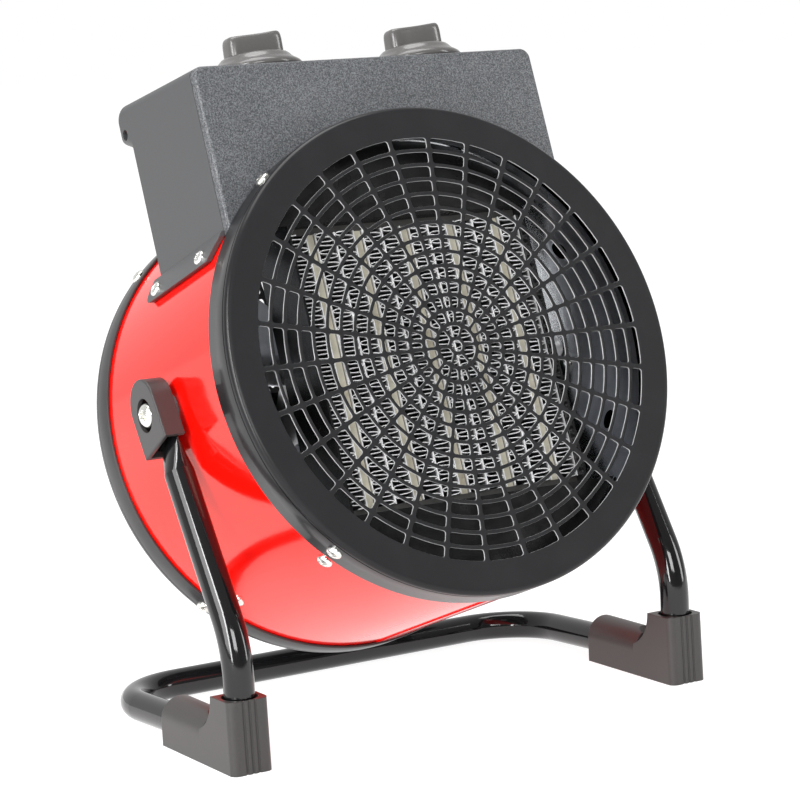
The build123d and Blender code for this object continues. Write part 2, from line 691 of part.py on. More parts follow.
def box_body():
    """The outer form of the control box with its rear lip, closed, before it is hollowed."""
    lip_end = BOX_REAR + LIP_REACH
    floor = FLANGE_BOTTOM
    low_lip = top_height(lip_end) - LIP_DROP
    points = [
        (BOX_FRONT, floor),
        (BOX_FRONT, top_height(BOX_FRONT)),
        (lip_end, top_height(lip_end)),
        (lip_end, low_lip),
        (BOX_REAR, low_lip - LIP_SLANT),
        (BOX_REAR, floor),
    ]
    body = side_profile(points, BOX_HALF_WIDTH)
    corner = body.edges().filter_by(Axis.X).sort_by_distance((0, lip_end, top_height(lip_end)))[0]
    body = fillet(corner, LIP_RADIUS)
    low_corner = body.edges().filter_by(Axis.X).sort_by_distance((0, lip_end, low_lip))[0]
    body = fillet(low_corner, LIP_LOW_EDGE)
    slope = Vector(0, cos(radians(BOX_SLOPE)), sin(radians(BOX_SLOPE)))
    sloping = [
        edge for edge in body.edges().filter_by(GeomType.LINE)
        if abs(abs((edge % 0.5).dot(slope)) - 1) < 1e-4
    ]
    body = fillet(sloping, BOX_CORNER)
    front_edges = body.faces().sort_by(Axis.Y)[0].edges().sort_by(Axis.Z)[1:]
    return fillet(front_edges, BOX_FRONT_EDGE)


def box_cavity():
    """The hollow of the control box, open below and towards the front panel."""
    front, rear = BOX_FRONT + BOX_WALL, BOX_REAR - BOX_WALL
    points = [
        (front, 0),
        (front, top_height(front) - BOX_WALL),
        (rear, top_height(rear) - BOX_WALL),
        (rear, 0),
    ]
    return side_profile(points, BOX_HALF_WIDTH - BOX_WALL)


def lip_channel():
    """The finger channel under the lip and the small openings in its ends."""
    inner_wall = BOX_REAR + LIP_REACH - LIP_WALL
    top = top_height(BOX_REAR) - LIP_WALL
    points = [(BOX_REAR, 0), (BOX_REAR, top), (inner_wall, top), (inner_wall, 0)]
    channel = side_profile(points, BOX_HALF_WIDTH - BOX_WALL)
    middle = (BOX_REAR + inner_wall) / 2
    low = top_height(BOX_REAR + LIP_REACH) - LIP_DROP + LIP_END_HOLE_RISE
    side_plane = Plane(origin=(-BOX_HALF_WIDTH - PAST, middle, low), z_dir=(1, 0, 0))
    return channel + side_plane * extrude(Circle(LIP_END_HOLE), 2 * (BOX_HALF_WIDTH + PAST))


def box_flange(side):
    """The foot of the control box that follows the drum on one side."""
    high = FLANGE_TOP + BOX_WALL
    outline = make_face(
        Polyline(
            (SHELL_FRONT, FLANGE_TOP),
            (SHELL_FRONT + FLANGE_CORNER, FLANGE_BOTTOM),
            (FLANGE_REAR, FLANGE_BOTTOM),
            (FLANGE_REAR, high),
            (SHELL_FRONT, high),
            close=True,
        )
    )
    rear_corner = outline.vertices().sort_by_distance((FLANGE_REAR, FLANGE_BOTTOM, 0))[0]
    outline = fillet(rear_corner, FLANGE_CORNER)
    slab = extrude(Plane(origin=(0, 0, 0), x_dir=(0, 1, 0), z_dir=(1, 0, 0)) * outline, BEYOND)
    flange = hoop(FLANGE_RADIUS, BOX_FIT, SHELL_FRONT, FLANGE_REAR) & slab
    return flange if side > 0 else mirror(flange, Plane.YZ)


def control_box_shell():
    """The moulded box: sides, sloping top, rear wall, carrying lip and drum flanges."""
    body = box_body() & block((-BEYOND, BEYOND), (SHELL_FRONT, BEYOND), (0, BEYOND))
    shell = body - box_cavity() - lip_channel() - disc(BOX_FIT, 0, BEYOND)
    for side in SIDES:
        shell += box_flange(side)
        shell -= top_plane(side * KNOB_X, KNOB_DEPTH) * Cylinder(BUSH_RADIUS + SCREW_FIT, 4 * BOX_WALL)
    neck = GLAND_NECK_RADIUS + SCREW_FIT
    shell -= disc(neck, BOX_REAR - 2 * BOX_WALL, BOX_REAR + PAST, GLAND_X, GLAND_HEIGHT)
    for name, radius, angle, y in screw_places():
        if name == "box":
            shell -= radial_hole(radius, angle, y, SCREW_RADIUS + SCREW_FIT, FLANGE_SHEET + PAST)
    return shell.solids().sort_by(SortBy.VOLUME)[-1]


def control_box_front():
    """The front panel, a shallow cap whose rim meets the box at a seam."""
    body = box_body() & block((-BEYOND, BEYOND), (0, BOX_FRONT + PANEL_DEPTH), (0, BEYOND))
    return body - box_cavity() - disc(BOX_FIT, 0, BEYOND)


def cable_gland():
    """The cable gland: a neck through the rear wall, a hexagon and a clamping dome."""
    hexagon_rear = BOX_REAR + GLAND_HEX_DEPTH
    rear = hexagon_rear + GLAND_DOME_DEPTH
    front = BOX_REAR - BOX_WALL - GLAND_TAIL
    body = disc(GLAND_NECK_RADIUS, front, BOX_REAR + PAST, GLAND_X, GLAND_HEIGHT)
    plane = facing_back(BOX_REAR, GLAND_X, GLAND_HEIGHT)
    body += extrude(plane * RegularPolygon(GLAND_HEX_RADIUS, 6), GLAND_HEX_DEPTH)
    dome = disc(GLAND_RADIUS, hexagon_rear, rear, GLAND_X, GLAND_HEIGHT)
    body += fillet(dome.edges().group_by(Axis.Y)[-1], GLAND_DOME_EDGE)
    return body - disc(GLAND_BORE, front - PAST, rear + PAST, GLAND_X, GLAND_HEIGHT)


def control_body(x):
    """A control under the box top: its case, and the threaded bush through the top."""
    wide, deep, tall = CONTROL_BODY
    case = Pos(0, 0, -BOX_WALL - CASE_GAP - tall / 2) * Box(wide, deep, tall)
    root = BOX_WALL + BUSH_ROOT
    bush = Pos(0, 0, -root) * extrude(Circle(BUSH_RADIUS), root + BUSH_HEIGHT)
    depth = BOX_WALL + SHAFT_DEPTH + SHAFT_END_GAP
    bore = Pos(0, 0, -depth) * extrude(Circle(CONTROL_SHAFT_RADIUS + SHAFT_FIT), depth + BUSH_HEIGHT + PAST)
    return top_plane(x, KNOB_DEPTH) * (case + bush - bore)


def panel_nuts():
    """The nuts on the control bushes, under the knobs."""
    nut = extrude(RegularPolygon(PANEL_NUT_RADIUS, 6), PANEL_NUT_HEIGHT)
    nut -= extrude(Circle(BUSH_RADIUS), PANEL_NUT_HEIGHT)
    return [top_plane(side * KNOB_X, KNOB_DEPTH) * nut for side in SIDES]


def control_shaft(x):
    """A control's shaft, from inside the case up into the knob."""
    low = -BOX_WALL - SHAFT_DEPTH
    shaft = Pos(0, 0, low) * extrude(Circle(CONTROL_SHAFT_RADIUS), KNOB_HEIGHT - KNOB_ROOF - low)
    return top_plane(x, KNOB_DEPTH) * shaft


def knob(x):
    """A knob: a flared skirt and a grip bar, hollow below for the panel nut."""
    flare = degrees(atan2(KNOB_RADIUS - KNOB_TOP_RADIUS, KNOB_SKIRT))
    skirt = extrude(Circle(KNOB_RADIUS), KNOB_SKIRT, taper=flare)
    plan = RectangleRounded(GRIP_LENGTH, GRIP_WIDTH, GRIP_CORNER)
    grip = extrude(plan, KNOB_HEIGHT - KNOB_CLEARANCE, taper=GRIP_DRAFT)
    grip = fillet(grip.faces().sort_by(Axis.Z)[-1].edges(), GRIP_EDGE)
    hollow = extrude(Circle(KNOB_CAVITY_RADIUS), KNOB_CAVITY_DEPTH)
    part = Pos(0, 0, KNOB_CLEARANCE) * (skirt + grip - hollow)
    part -= extrude(Circle(CONTROL_SHAFT_RADIUS), KNOB_HEIGHT - KNOB_ROOF)
    return top_plane(x, KNOB_DEPTH) * part


def terminal_block():
    """The terminal block on the rear wall inside the box, beside the gland."""
    z = BOX_FIT + BLOCK_RISE
    rear = BOX_REAR - BOX_WALL
    front = rear - BLOCK_DEPTH
    half_width, half_height = BLOCK_WIDTH / 2, BLOCK_HEIGHT / 2
    wide, high = (BLOCK_X - half_width, BLOCK_X + half_width), (z - half_height, z + half_height)
    body = block(wide, (front, rear), high)
    middle = (BLOCK_POLES - 1) / 2
    for pole in range(BLOCK_POLES):
        x = BLOCK_X + (pole - middle) * BLOCK_PITCH
        for side in SIDES:
            hole_z = z + side * BLOCK_HOLE_OFFSET
            body -= disc(BLOCK_HOLE_RADIUS, front - PAST, front + BLOCK_HOLE_DEPTH, x, hole_z)
    return body


# Pivots

def pivot_plane(side, x):
    """A plane on a pivot axis in the head frame, normal pointing outwards."""
    return Plane(origin=(side * x, PIVOT_DEPTH, 0), x_dir=(0, 1, 0), z_dir=(side, 0, 0))


def pivot_saddle(side):
    """A friction disc whose inner face follows the drum."""
    inner = DRUM_INNER - DRUM_SHEET
    length = TANG_INNER - BODY_GAP - inner
    saddle = pivot_plane(side, inner) * extrude(Circle(SADDLE_RADIUS), length)
    saddle -= disc(DRUM_RADIUS, PIVOT_DEPTH - 2 * SADDLE_RADIUS, PIVOT_DEPTH + 2 * SADDLE_RADIUS)
    bore = pivot_plane(side, inner - PAST) * extrude(Circle(BOLT_RADIUS + SCREW_FIT), length + 2 * PAST)
    return saddle - bore


def pivot_washer(side):
    """The washer between the bolt head and the flattened tube."""
    ring = extrude(Circle(WASHER_RADIUS) - Circle(BOLT_RADIUS), WASHER_SHEET)
    return pivot_plane(side, TANG_OUTER + BODY_GAP) * ring


def pivot_bolt(side):
    """A domed bolt through the washer, the tube, the saddle and the drum into its nut."""
    seat = TANG_OUTER + BODY_GAP + WASHER_SHEET
    head = extrude(Circle(BOLT_HEAD_RADIUS), BOLT_HEAD_HEIGHT)
    head = fillet(head.edges().group_by(Axis.Z)[-1], BOLT_HEAD_HEIGHT * SCREW_DOME)
    across = BOLT_HEAD_RADIUS * SCREW_CROSS
    recess = Box(across, BOLT_SLOT, 2 * BOLT_SLOT_DEPTH) + Box(BOLT_SLOT, across, 2 * BOLT_SLOT_DEPTH)
    head -= Pos(0, 0, BOLT_HEAD_HEIGHT) * recess
    length = seat - (DRUM_INNER - NUT_PLATE[2] - NUT_HEIGHT + NUT_END_GAP)
    shank = Pos(0, 0, -length) * extrude(Circle(BOLT_RADIUS), length)
    return pivot_plane(side, seat) * (head + shank)


def pivot_nut(side):
    """A weld nut on a plate that lies inside the drum wall."""
    deep, tall, sheet = NUT_PLATE
    seat = sqrt(DRUM_INNER ** 2 - (tall / 2) ** 2) - PART_GAP
    inner = seat - sheet - NUT_HEIGHT
    plate = pivot_plane(side, seat - sheet) * extrude(Rectangle(deep, tall), sheet)
    nut = pivot_plane(side, inner) * extrude(RegularPolygon(NUT_RADIUS, 6), NUT_HEIGHT)
    bore = pivot_plane(side, inner - PAST) * extrude(Circle(BOLT_RADIUS), seat - inner + 2 * PAST)
    return plate + nut - bore


# Stand, drawn straight in the object's frame

def pivot_point(side):
    """The pivot centre of one side."""
    return Vector(side * UPRIGHT_X, PIVOT_Y, PIVOT_HEIGHT)


def knee_point(side):
    """Where the upright turns vertical above its foot."""
    return Vector(side * UPRIGHT_X, FOOT_Y, KNEE_HEIGHT)


def upright_frame(side):
    """A plane at the pivot: X towards the knee, normal outwards from the heater."""
    down = (knee_point(side) - pivot_point(side)).normalized()
    return Plane(origin=pivot_point(side), x_dir=down, z_dir=(side, 0, 0))


def tube_path():
    """The centre line of the bent tube, from one flattened end to the other."""
    def half(side):
        down = (knee_point(side) - pivot_point(side)).normalized()
        return [
            pivot_point(side) + down * (TANG_LENGTH + FLATTEN_LENGTH),
            knee_point(side),
            Vector(side * UPRIGHT_X, FOOT_Y, RAIL_HEIGHT),
            Vector(side * UPRIGHT_X, FOOT_Y + RAIL_LENGTH, TUBE_RADIUS),
        ]
    points = half(-1) + half(1)[::-1]
    return FilletPolyline(*points, radius=[KNEE_BEND, FOOT_BEND, REAR_BEND, REAR_BEND, FOOT_BEND, KNEE_BEND])


def swept_tube(path, radius):
    """A round bar along the tube's centre line."""
    start = Plane(origin=path @ 0, z_dir=path % 0)
    return sweep(start * Circle(radius), path)


def tube_end(side):
    """The end of the tube, flattened to a tang with the pivot hole."""
    down = (knee_point(side) - pivot_point(side)).normalized()
    across = Vector(side, 0, 0).cross(down)
    round_place = pivot_point(side) + down * (TANG_LENGTH + FLATTEN_LENGTH)
    round_end = Plane(origin=round_place, x_dir=across, z_dir=down)
    flat_end = Plane(origin=pivot_point(side) + down * TANG_LENGTH, x_dir=across, z_dir=down)
    neck = loft([flat_end * Ellipse(TANG_WIDTH / 2, TANG_SHEET / 2), round_end * Circle(TUBE_RADIUS)])
    plan = Circle(TANG_WIDTH / 2) + Pos(TANG_LENGTH / 2, 0) * Rectangle(TANG_LENGTH + 2 * PAST, TANG_WIDTH)
    plan -= Circle(BOLT_RADIUS + SHAFT_FIT)
    tang = upright_frame(side) * Pos(0, 0, -TANG_SHEET / 2) * extrude(plan, TANG_SHEET)
    return neck + tang


def stand_tube():
    """The one-piece bent tube with flattened ends."""
    path = tube_path()
    tube = swept_tube(path, TUBE_RADIUS) - swept_tube(path, TUBE_RADIUS - TUBE_WALL)
    for side in SIDES:
        tube += tube_end(side)
    for side in SIDES:
        tube -= foot_screw_drill(side)
    return tube


def foot_screw_drill(side):
    """The hole for the screw that holds a foot, up through its base into the tube."""
    y = FOOT_Y + FOOT_SCREW_BACK
    return Pos(side * UPRIGHT_X, y, 0) * Cylinder(SCREW_RADIUS + SCREW_FIT, 2 * RAIL_HEIGHT - 2 * PAST)


def foot_post(side):
    """The tapered front post of a foot and the concave web behind it."""
    front_top = -FOOT_NOSE + FOOT_DRAFT
    arc_middle = radians(FOOT_ARC_MIDDLE)
    web_rear = FOOT_POST_REAR + FOOT_ARC - FOOT_ARC_SHORT
    web_low = FOOT_HEIGHT - sqrt(FOOT_ARC ** 2 - FOOT_ARC_SHORT ** 2)
    through = (
        FOOT_POST_REAR + FOOT_ARC + FOOT_ARC * cos(arc_middle),
        FOOT_HEIGHT + FOOT_ARC * sin(arc_middle),
    )
    outline = make_face([
        Line((-FOOT_NOSE, 0), (front_top, FOOT_HEIGHT)),
        Line((front_top, FOOT_HEIGHT), (FOOT_POST_REAR, FOOT_HEIGHT)),
        ThreePointArc((FOOT_POST_REAR, FOOT_HEIGHT), through, (web_rear, web_low)),
        Line((web_rear, web_low), (web_rear, 0)),
        Line((web_rear, 0), (-FOOT_NOSE, 0)),
    ])
    plane = Plane(origin=(side * UPRIGHT_X - COLLAR_RADIUS, FOOT_Y, 0), x_dir=(0, 1, 0), z_dir=(1, 0, 0))
    post = extrude(plane * outline, 2 * COLLAR_RADIUS)
    front_edges = post.faces().sort_by(Axis.Y)[0].edges().filter_by(GeomType.LINE)
    return fillet([edge for edge in front_edges if abs((edge % 0.5).X) < 0.5], FOOT_CORNER)


def foot(side):
    """A moulded foot: a post over the bend of the tube and a half-round collar over the rail."""
    x = side * UPRIGHT_X
    start = FOOT_Y + FOOT_POST_REAR
    rear = FOOT_Y + FOOT_LENGTH - FOOT_NOSE
    collar = disc(COLLAR_RADIUS, FOOT_Y + FOOT_COLLAR_START, rear, x, RAIL_HEIGHT)
    base = block((x - COLLAR_RADIUS, x + COLLAR_RADIUS), (start, rear), (0, RAIL_HEIGHT))
    part = foot_post(side) + collar + base
    part -= swept_tube(tube_path(), TUBE_RADIUS + FOOT_FIT)
    socket = Pos(x, FOOT_Y, FOOT_HEIGHT - FOOT_SOCKET_DEPTH)
    part -= socket * extrude(Circle(TUBE_RADIUS + FOOT_SOCKET_GAP), 2 * FOOT_SOCKET_DEPTH)
    window = Plane(origin=(x, FOOT_Y + FOOT_WINDOW_BACK, RAIL_HEIGHT), z_dir=(0, 1, 1))
    part -= window * extrude(Circle(FOOT_WINDOW), FOOT_HEIGHT)
    for offset in (-FOOT_GROOVE_PITCH, 0, FOOT_GROOVE_PITCH):
        foot_of_groove = (x + offset, FOOT_Y - FOOT_NOSE, 0)
        groove = Plane(origin=foot_of_groove, z_dir=(0, FOOT_DRAFT, FOOT_HEIGHT))
        part -= groove * extrude(Circle(FOOT_GROOVE), 2 * FOOT_HEIGHT)
    part -= foot_screw_drill(side)
    recess = SCREW_HEAD_RADIUS + FOOT_SCREW_RECESS_GAP
    part -= Pos(x, FOOT_Y + FOOT_SCREW_BACK, 0) * Cylinder(recess, 2 * FOOT_SCREW_SEAT)
    return part.solids().sort_by(SortBy.VOLUME)[-1]


def foot_screws():
    """A screw up through each foot into the tube, its head sunk in the base."""
    y = FOOT_Y + FOOT_SCREW_BACK
    seats = [Plane(origin=(side * UPRIGHT_X, y, FOOT_SCREW_SEAT), z_dir=(0, 0, -1)) for side in SIDES]
    return [seat * pan_screw(FOOT_SCREW_HEAD_HEIGHT) for seat in seats]


def cap_form(radius, length, depth):
    """A D-shaped block: a round crown over straight sides."""
    plan = Pos(-CAP_CROWN, 0) * Circle(radius)
    plan += Pos((length - CAP_CROWN) / 2, 0) * Rectangle(length + CAP_CROWN, 2 * radius)
    return extrude(plan, depth)


def pivot_cap(side):
    """The moulded cap over the tang: D-shaped, open below and towards the drum."""
    outer = cap_form(CAP_RADIUS, CAP_LENGTH, CAP_DEPTH)
    outer = fillet(outer.edges().group_by(Axis.Z)[-1], CAP_EDGE)
    hollow_depth = CAP_DEPTH - CAP_WALL + PAST
    hollow = Pos(0, 0, -PAST) * cap_form(CAP_RADIUS - CAP_WALL, CAP_LENGTH + CAP_WALL, hollow_depth)
    narrow = WASHER_RADIUS + CAP_HOLE_GAP
    oval = Ellipse(narrow + CAP_HOLE_STRETCH, narrow)
    hole = Pos(0, 0, CAP_DEPTH - 2 * CAP_WALL) * extrude(oval, CAP_DEPTH)
    inner_z = CAP_OUTER - CAP_DEPTH - UPRIGHT_X
    return upright_frame(side) * Pos(0, 0, inner_z) * (outer - hollow - hole)


def main():
    """Write every node."""
    os.makedirs("parts", exist_ok=True)
    head_nodes = {
        "drum_shell": [drum_shell()],
        "inner_liner": [inner_liner()],
        "front_grille": [front_grille()],
        "front_grille_screws": radial_screws("front"),
        "rear_grille": [rear_grille()],
        "rear_grille_screws": radial_screws("rear"),
        "drum_screws": radial_screws("drum"),
        "ptc_bars": ptc_bars(),
        "fin_packs": fin_packs(),
        "element_frame": [element_frame()],
        "element_insulators": element_insulators(),
        "element_brackets": element_brackets(),
        "element_terminals": element_terminals(),
        "thermal_cutout": [thermal_cutout()],
        "fan_motor": [fan_motor()],
        "motor_bracket": [motor_bracket()],
        "motor_screws": motor_screws(),
        "motor_shaft": [motor_shaft()],
        "fan_blade": [fan_blade()],
        "fan_nut": [fan_nut()],
        "control_box_shell": [control_box_shell()],
        "control_box_front": [control_box_front()],
        "control_box_screws": radial_screws("box"),
        "cable_gland": [cable_gland()],
        "terminal_block": [terminal_block()],
        "thermostat": [control_body(-KNOB_X)],
        "rotary_switch": [control_body(KNOB_X)],
        "panel_nuts": panel_nuts(),
        "thermostat_shaft": [control_shaft(-KNOB_X)],
        "selector_shaft": [control_shaft(KNOB_X)],
        "thermostat_knob": [knob(-KNOB_X)],
        "selector_knob": [knob(KNOB_X)],
        "pivot_saddles": [pivot_saddle(side) for side in SIDES],
        "pivot_washers": [pivot_washer(side) for side in SIDES],
        "pivot_bolts": [pivot_bolt(side) for side in SIDES],
        "pivot_nuts": [pivot_nut(side) for side in SIDES],
    }
    for name, shapes in head_nodes.items():
        save(name, place_head(shapes))
    stand_nodes = {
        "stand_tube": stand_tube(),
        "left_foot": foot(-1),
        "right_foot": foot(1),
        "left_pivot_cap": pivot_cap(-1),
        "right_pivot_cap": pivot_cap(1),
    }
    for name, shape in stand_nodes.items():
        save(name, [shape])
    save("foot_screws", foot_screws())


if __name__ == "__main__":
    main()
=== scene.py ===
"""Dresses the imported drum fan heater: covers, fins, fasteners, knobs, finishes, studio and camera."""

from __future__ import annotations

import json
import logging
import math
from dataclasses import dataclass, field
from enum import Enum
from typing import Any, Callable, Sequence

import bmesh
import bpy
from mathutils import Matrix, Vector

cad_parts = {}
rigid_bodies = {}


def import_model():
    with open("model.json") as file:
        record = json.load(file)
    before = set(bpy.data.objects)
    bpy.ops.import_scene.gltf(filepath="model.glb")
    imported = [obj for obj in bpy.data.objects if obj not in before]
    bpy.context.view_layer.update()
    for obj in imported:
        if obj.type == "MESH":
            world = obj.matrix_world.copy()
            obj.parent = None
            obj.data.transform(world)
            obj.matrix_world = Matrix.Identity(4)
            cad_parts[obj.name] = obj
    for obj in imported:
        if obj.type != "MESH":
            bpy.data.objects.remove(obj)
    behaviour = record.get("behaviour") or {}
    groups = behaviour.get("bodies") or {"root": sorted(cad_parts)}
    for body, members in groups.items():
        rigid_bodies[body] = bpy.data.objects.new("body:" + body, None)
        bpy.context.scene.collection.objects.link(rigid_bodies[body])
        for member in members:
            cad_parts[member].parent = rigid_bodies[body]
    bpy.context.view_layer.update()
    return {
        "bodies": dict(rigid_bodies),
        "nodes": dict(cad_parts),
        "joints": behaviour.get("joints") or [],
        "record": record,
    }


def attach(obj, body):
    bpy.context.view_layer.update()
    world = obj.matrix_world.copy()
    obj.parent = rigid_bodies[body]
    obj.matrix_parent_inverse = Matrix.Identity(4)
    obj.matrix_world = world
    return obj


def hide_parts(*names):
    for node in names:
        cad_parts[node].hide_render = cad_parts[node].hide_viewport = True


LOG = logging.getLogger("heater")
MM = 0.001
INSET = 0.03  # How far a cover stays inside its CAD node, mm
MERGE = 0.004 * MM  # Vertices nearer than this are one
COAT_ROUGHNESS = 0.04
Point = tuple[float, float]
Triple = tuple[float, float, float]
Colour = Triple


class Body(str, Enum):
    """The bodies that new pieces ride on."""

    HEAD = "head"
    FAN = "fan"
    THERMOSTAT = "thermostat_dial"
    SELECTOR = "selector_dial"


class Slot(str, Enum):
    """The record's material slots, passed along with new pieces but not used."""

    COVER = "black_satin_paint"
    FINS = "fin_aluminium"
    ZINC = "zinc"
    KNOB = "knob_plastic"
    FAN = "fan_aluminium"


# Node building


def arithmetic(operation: str, swapped: bool = False) -> Callable[[Sock, Value], Sock]:
    """Makes an operator that adds one Math node.

    Args:
        operation: The Math node's operation.
        swapped: Whether the other value comes first.

    Returns:
        The operator.
    """

    def method(self: Sock, other: Value) -> Sock:
        """The operation's result."""
        first, second = (other, self) if swapped else (self, other)
        return self.graph.math(operation, first, second)

    return method


@dataclass(frozen=True)
class Sock:
    """An output socket that adds Math nodes when it takes part in arithmetic.

    Attributes:
        graph: The graph that new Math nodes go into.
        socket: The output socket.
    """

    graph: Graph
    socket: bpy.types.NodeSocket

    __add__, __mul__, __truediv__ = arithmetic("ADD"), arithmetic("MULTIPLY"), arithmetic("DIVIDE")
    __sub__, __rsub__ = arithmetic("SUBTRACT"), arithmetic("SUBTRACT", True)
    __gt__, __lt__ = arithmetic("GREATER_THAN"), arithmetic("LESS_THAN")

    def __floordiv__(self, other: float) -> Sock:
        """The whole part of an index divided by a count."""
        return self.graph.math("FLOOR", (self + 0.5) / other)


Value = Sock | float


class Graph:
    """A node tree that is filled from Python expressions."""

    def __init__(self, tree: bpy.types.NodeTree) -> None:
        """Keeps the shader or geometry tree to fill."""
        self.tree = tree

    def feed(self, socket: bpy.types.NodeSocket, value: Any) -> None:
        """Links or sets one input socket.

        Args:
            socket: The input socket.
            value: A Sock to link, a list of Socks for a multi-input, or a plain value.
        """
        if isinstance(value, list):
            for item in value:
                self.feed(socket, item)
        elif isinstance(value, Sock):
            self.tree.links.new(value.socket, socket)
        else:
            socket.default_value = value

    def node(
        self, kind: str, settings: dict[str, Any] | None = None, out: int | str = 0, **sockets: Any
    ) -> Sock:
        """Adds one node.

        Args:
            kind: The node's type name.
            settings: Properties set first; "stops" fills a colour ramp.
            out: The output to return, by name or place.
            sockets: Inputs by name with underscores for spaces, or i0, i1 and so on for a place.

        Returns:
            The chosen output.
        """
        made = self.tree.nodes.new(kind)
        for name, value in (settings or {}).items():
            if name == "stops":
                self._stops(made.color_ramp, value)
            else:
                setattr(made, name, value)
        for name, value in sockets.items():
            key = int(name[1:]) if name[1:].isdigit() and name[0] == "i" else name.replace("_", " ")
            self.feed(made.inputs[key], value)
        return Sock(self, made.outputs[out])

    @staticmethod
    def _stops(ramp: bpy.types.ColorRamp, stops: Sequence[tuple[float, Colour]]) -> None:
        """Fills a colour ramp with places and colours, in order."""
        for index, (place, colour) in enumerate(stops):
            element = ramp.elements[index] if index < 2 else ramp.elements.new(place)
            element.position = place
            element.color = (*colour, 1.0)

    def math(self, operation: str, first: Value, second: Value = 0.0, clamp: bool = False) -> Sock:
        """A Math node's result, held between 0 and 1 if clamp is set."""
        return self.node("ShaderNodeMath", {"operation": operation, "use_clamp": clamp}, i0=first, i1=second)

    def clamp(self, value: Value) -> Sock:
        """The value held between 0 and 1."""
        return self.math("ADD", value, 0.0, clamp=True)

    def vector(self, operation: str, first: Any, second: Any = (0.0, 0.0, 0.0), out: int | str = 0) -> Sock:
        """A Vector Math node's result."""
        return self.node("ShaderNodeVectorMath", {"operation": operation}, out, i0=first, i1=second)

    def xyz(self, x: Value = 0.0, y: Value = 0.0, z: Value = 0.0) -> Sock:
        """A vector of three values."""
        return self.node("ShaderNodeCombineXYZ", X=x, Y=y, Z=z)

    def mix(self, mask: Sock, low: Sock | Colour, high: Sock | Colour) -> Sock:
        """A colour between low, where the mask is 0, and high, where it is 1."""
        low, high = [colour if isinstance(colour, Sock) else (*colour, 1.0) for colour in (low, high)]
        return self.node("ShaderNodeMix", {"data_type": "RGBA"}, 2, i0=mask, i6=low, i7=high)


class GeoTree(Graph):
    """A Geometry Nodes tree with named inputs, turned into a plain mesh by bake()."""

    def __init__(self, name: str, inputs: dict[str, Any]) -> None:
        """Makes the tree and its sockets.

        Args:
            name: The tree's name.
            inputs: A plain value, a material or an object for each named input.
        """
        super().__init__(bpy.data.node_groups.new(name, "GeometryNodeTree"))
        face = self.tree.interface
        face.new_socket("Geometry", in_out="INPUT", socket_type="NodeSocketGeometry")
        self.values: dict[str, Any] = {}
        for label, value in inputs.items():
            item = face.new_socket(label, in_out="INPUT", socket_type=self._kind(value))
            self.values[item.identifier] = value
        face.new_socket("Geometry", in_out="OUTPUT", socket_type="NodeSocketGeometry")
        self.entry = self.tree.nodes.new("NodeGroupInput")

    @staticmethod
    def _kind(value: Any) -> str:
        """The socket's type name for a value."""
        kinds = {int: "Int", float: "Float", bpy.types.Material: "Material", bpy.types.Object: "Object"}
        return "NodeSocket" + kinds[type(value)]

    def given(self, label: str) -> Sock:
        """A named input of the tree."""
        return Sock(self, self.entry.outputs[label])

    def index(self) -> Sock:
        """The index of the point or vertex that is being worked out."""
        return self.node("GeometryNodeInputIndex")

    def moved(self, geometry: Sock, where: Sock) -> Sock:
        """The geometry with its points at new places."""
        return self.node("GeometryNodeSetPosition", Geometry=geometry, Position=where)

    def copies(self, count: int, shape: Sock, where: Sock | None = None) -> Sock:
        """Copies of a shape at places worked out from each copy's index, or all at the origin."""
        points = self.node("GeometryNodeMeshLine", Count=count, Offset=(0, 0, 0))
        if where is not None:
            points = self.moved(points, where)
        return self.node("GeometryNodeInstanceOnPoints", Points=points, Instance=shape)

    def close(self, geometry: Sock) -> None:
        """Ends the tree: realizes instances, sets the material and joins the output."""
        real = self.node("GeometryNodeRealizeInstances", i0=geometry)
        dressed = self.node("GeometryNodeSetMaterial", Geometry=real, Material=self.given("Material"))
        exit_node = self.tree.nodes.new("NodeGroupOutput")
        self.feed(exit_node.inputs["Geometry"], dressed)

    def bake(self, base: bpy.types.Mesh, place: Matrix, solid: float = 0.0) -> bpy.types.Mesh:
        """Runs the tree on a mesh and returns a plain mesh.

        Args:
            base: The mesh that the tree starts from.
            place: The matrix that takes the result into the object's frame.
            solid: The wall that a Solidify modifier adds, or 0 for none.

        Returns:
            The finished mesh.
        """
        holder = link(self.tree.name, base)
        modifier = holder.modifiers.new(self.tree.name, "NODES")
        modifier.node_group = self.tree
        for identifier, value in self.values.items():
            modifier[identifier] = value
        if solid:
            wall = holder.modifiers.new("wall", "SOLIDIFY")
            wall.thickness, wall.offset = solid, 0.0
        graph = bpy.context.evaluated_depsgraph_get()
        mesh = bpy.data.meshes.new_from_object(holder.evaluated_get(graph))
        holder.modifiers.clear()
        bpy.data.objects.remove(holder)
        mesh.transform(place)
        return mesh


# Finishes


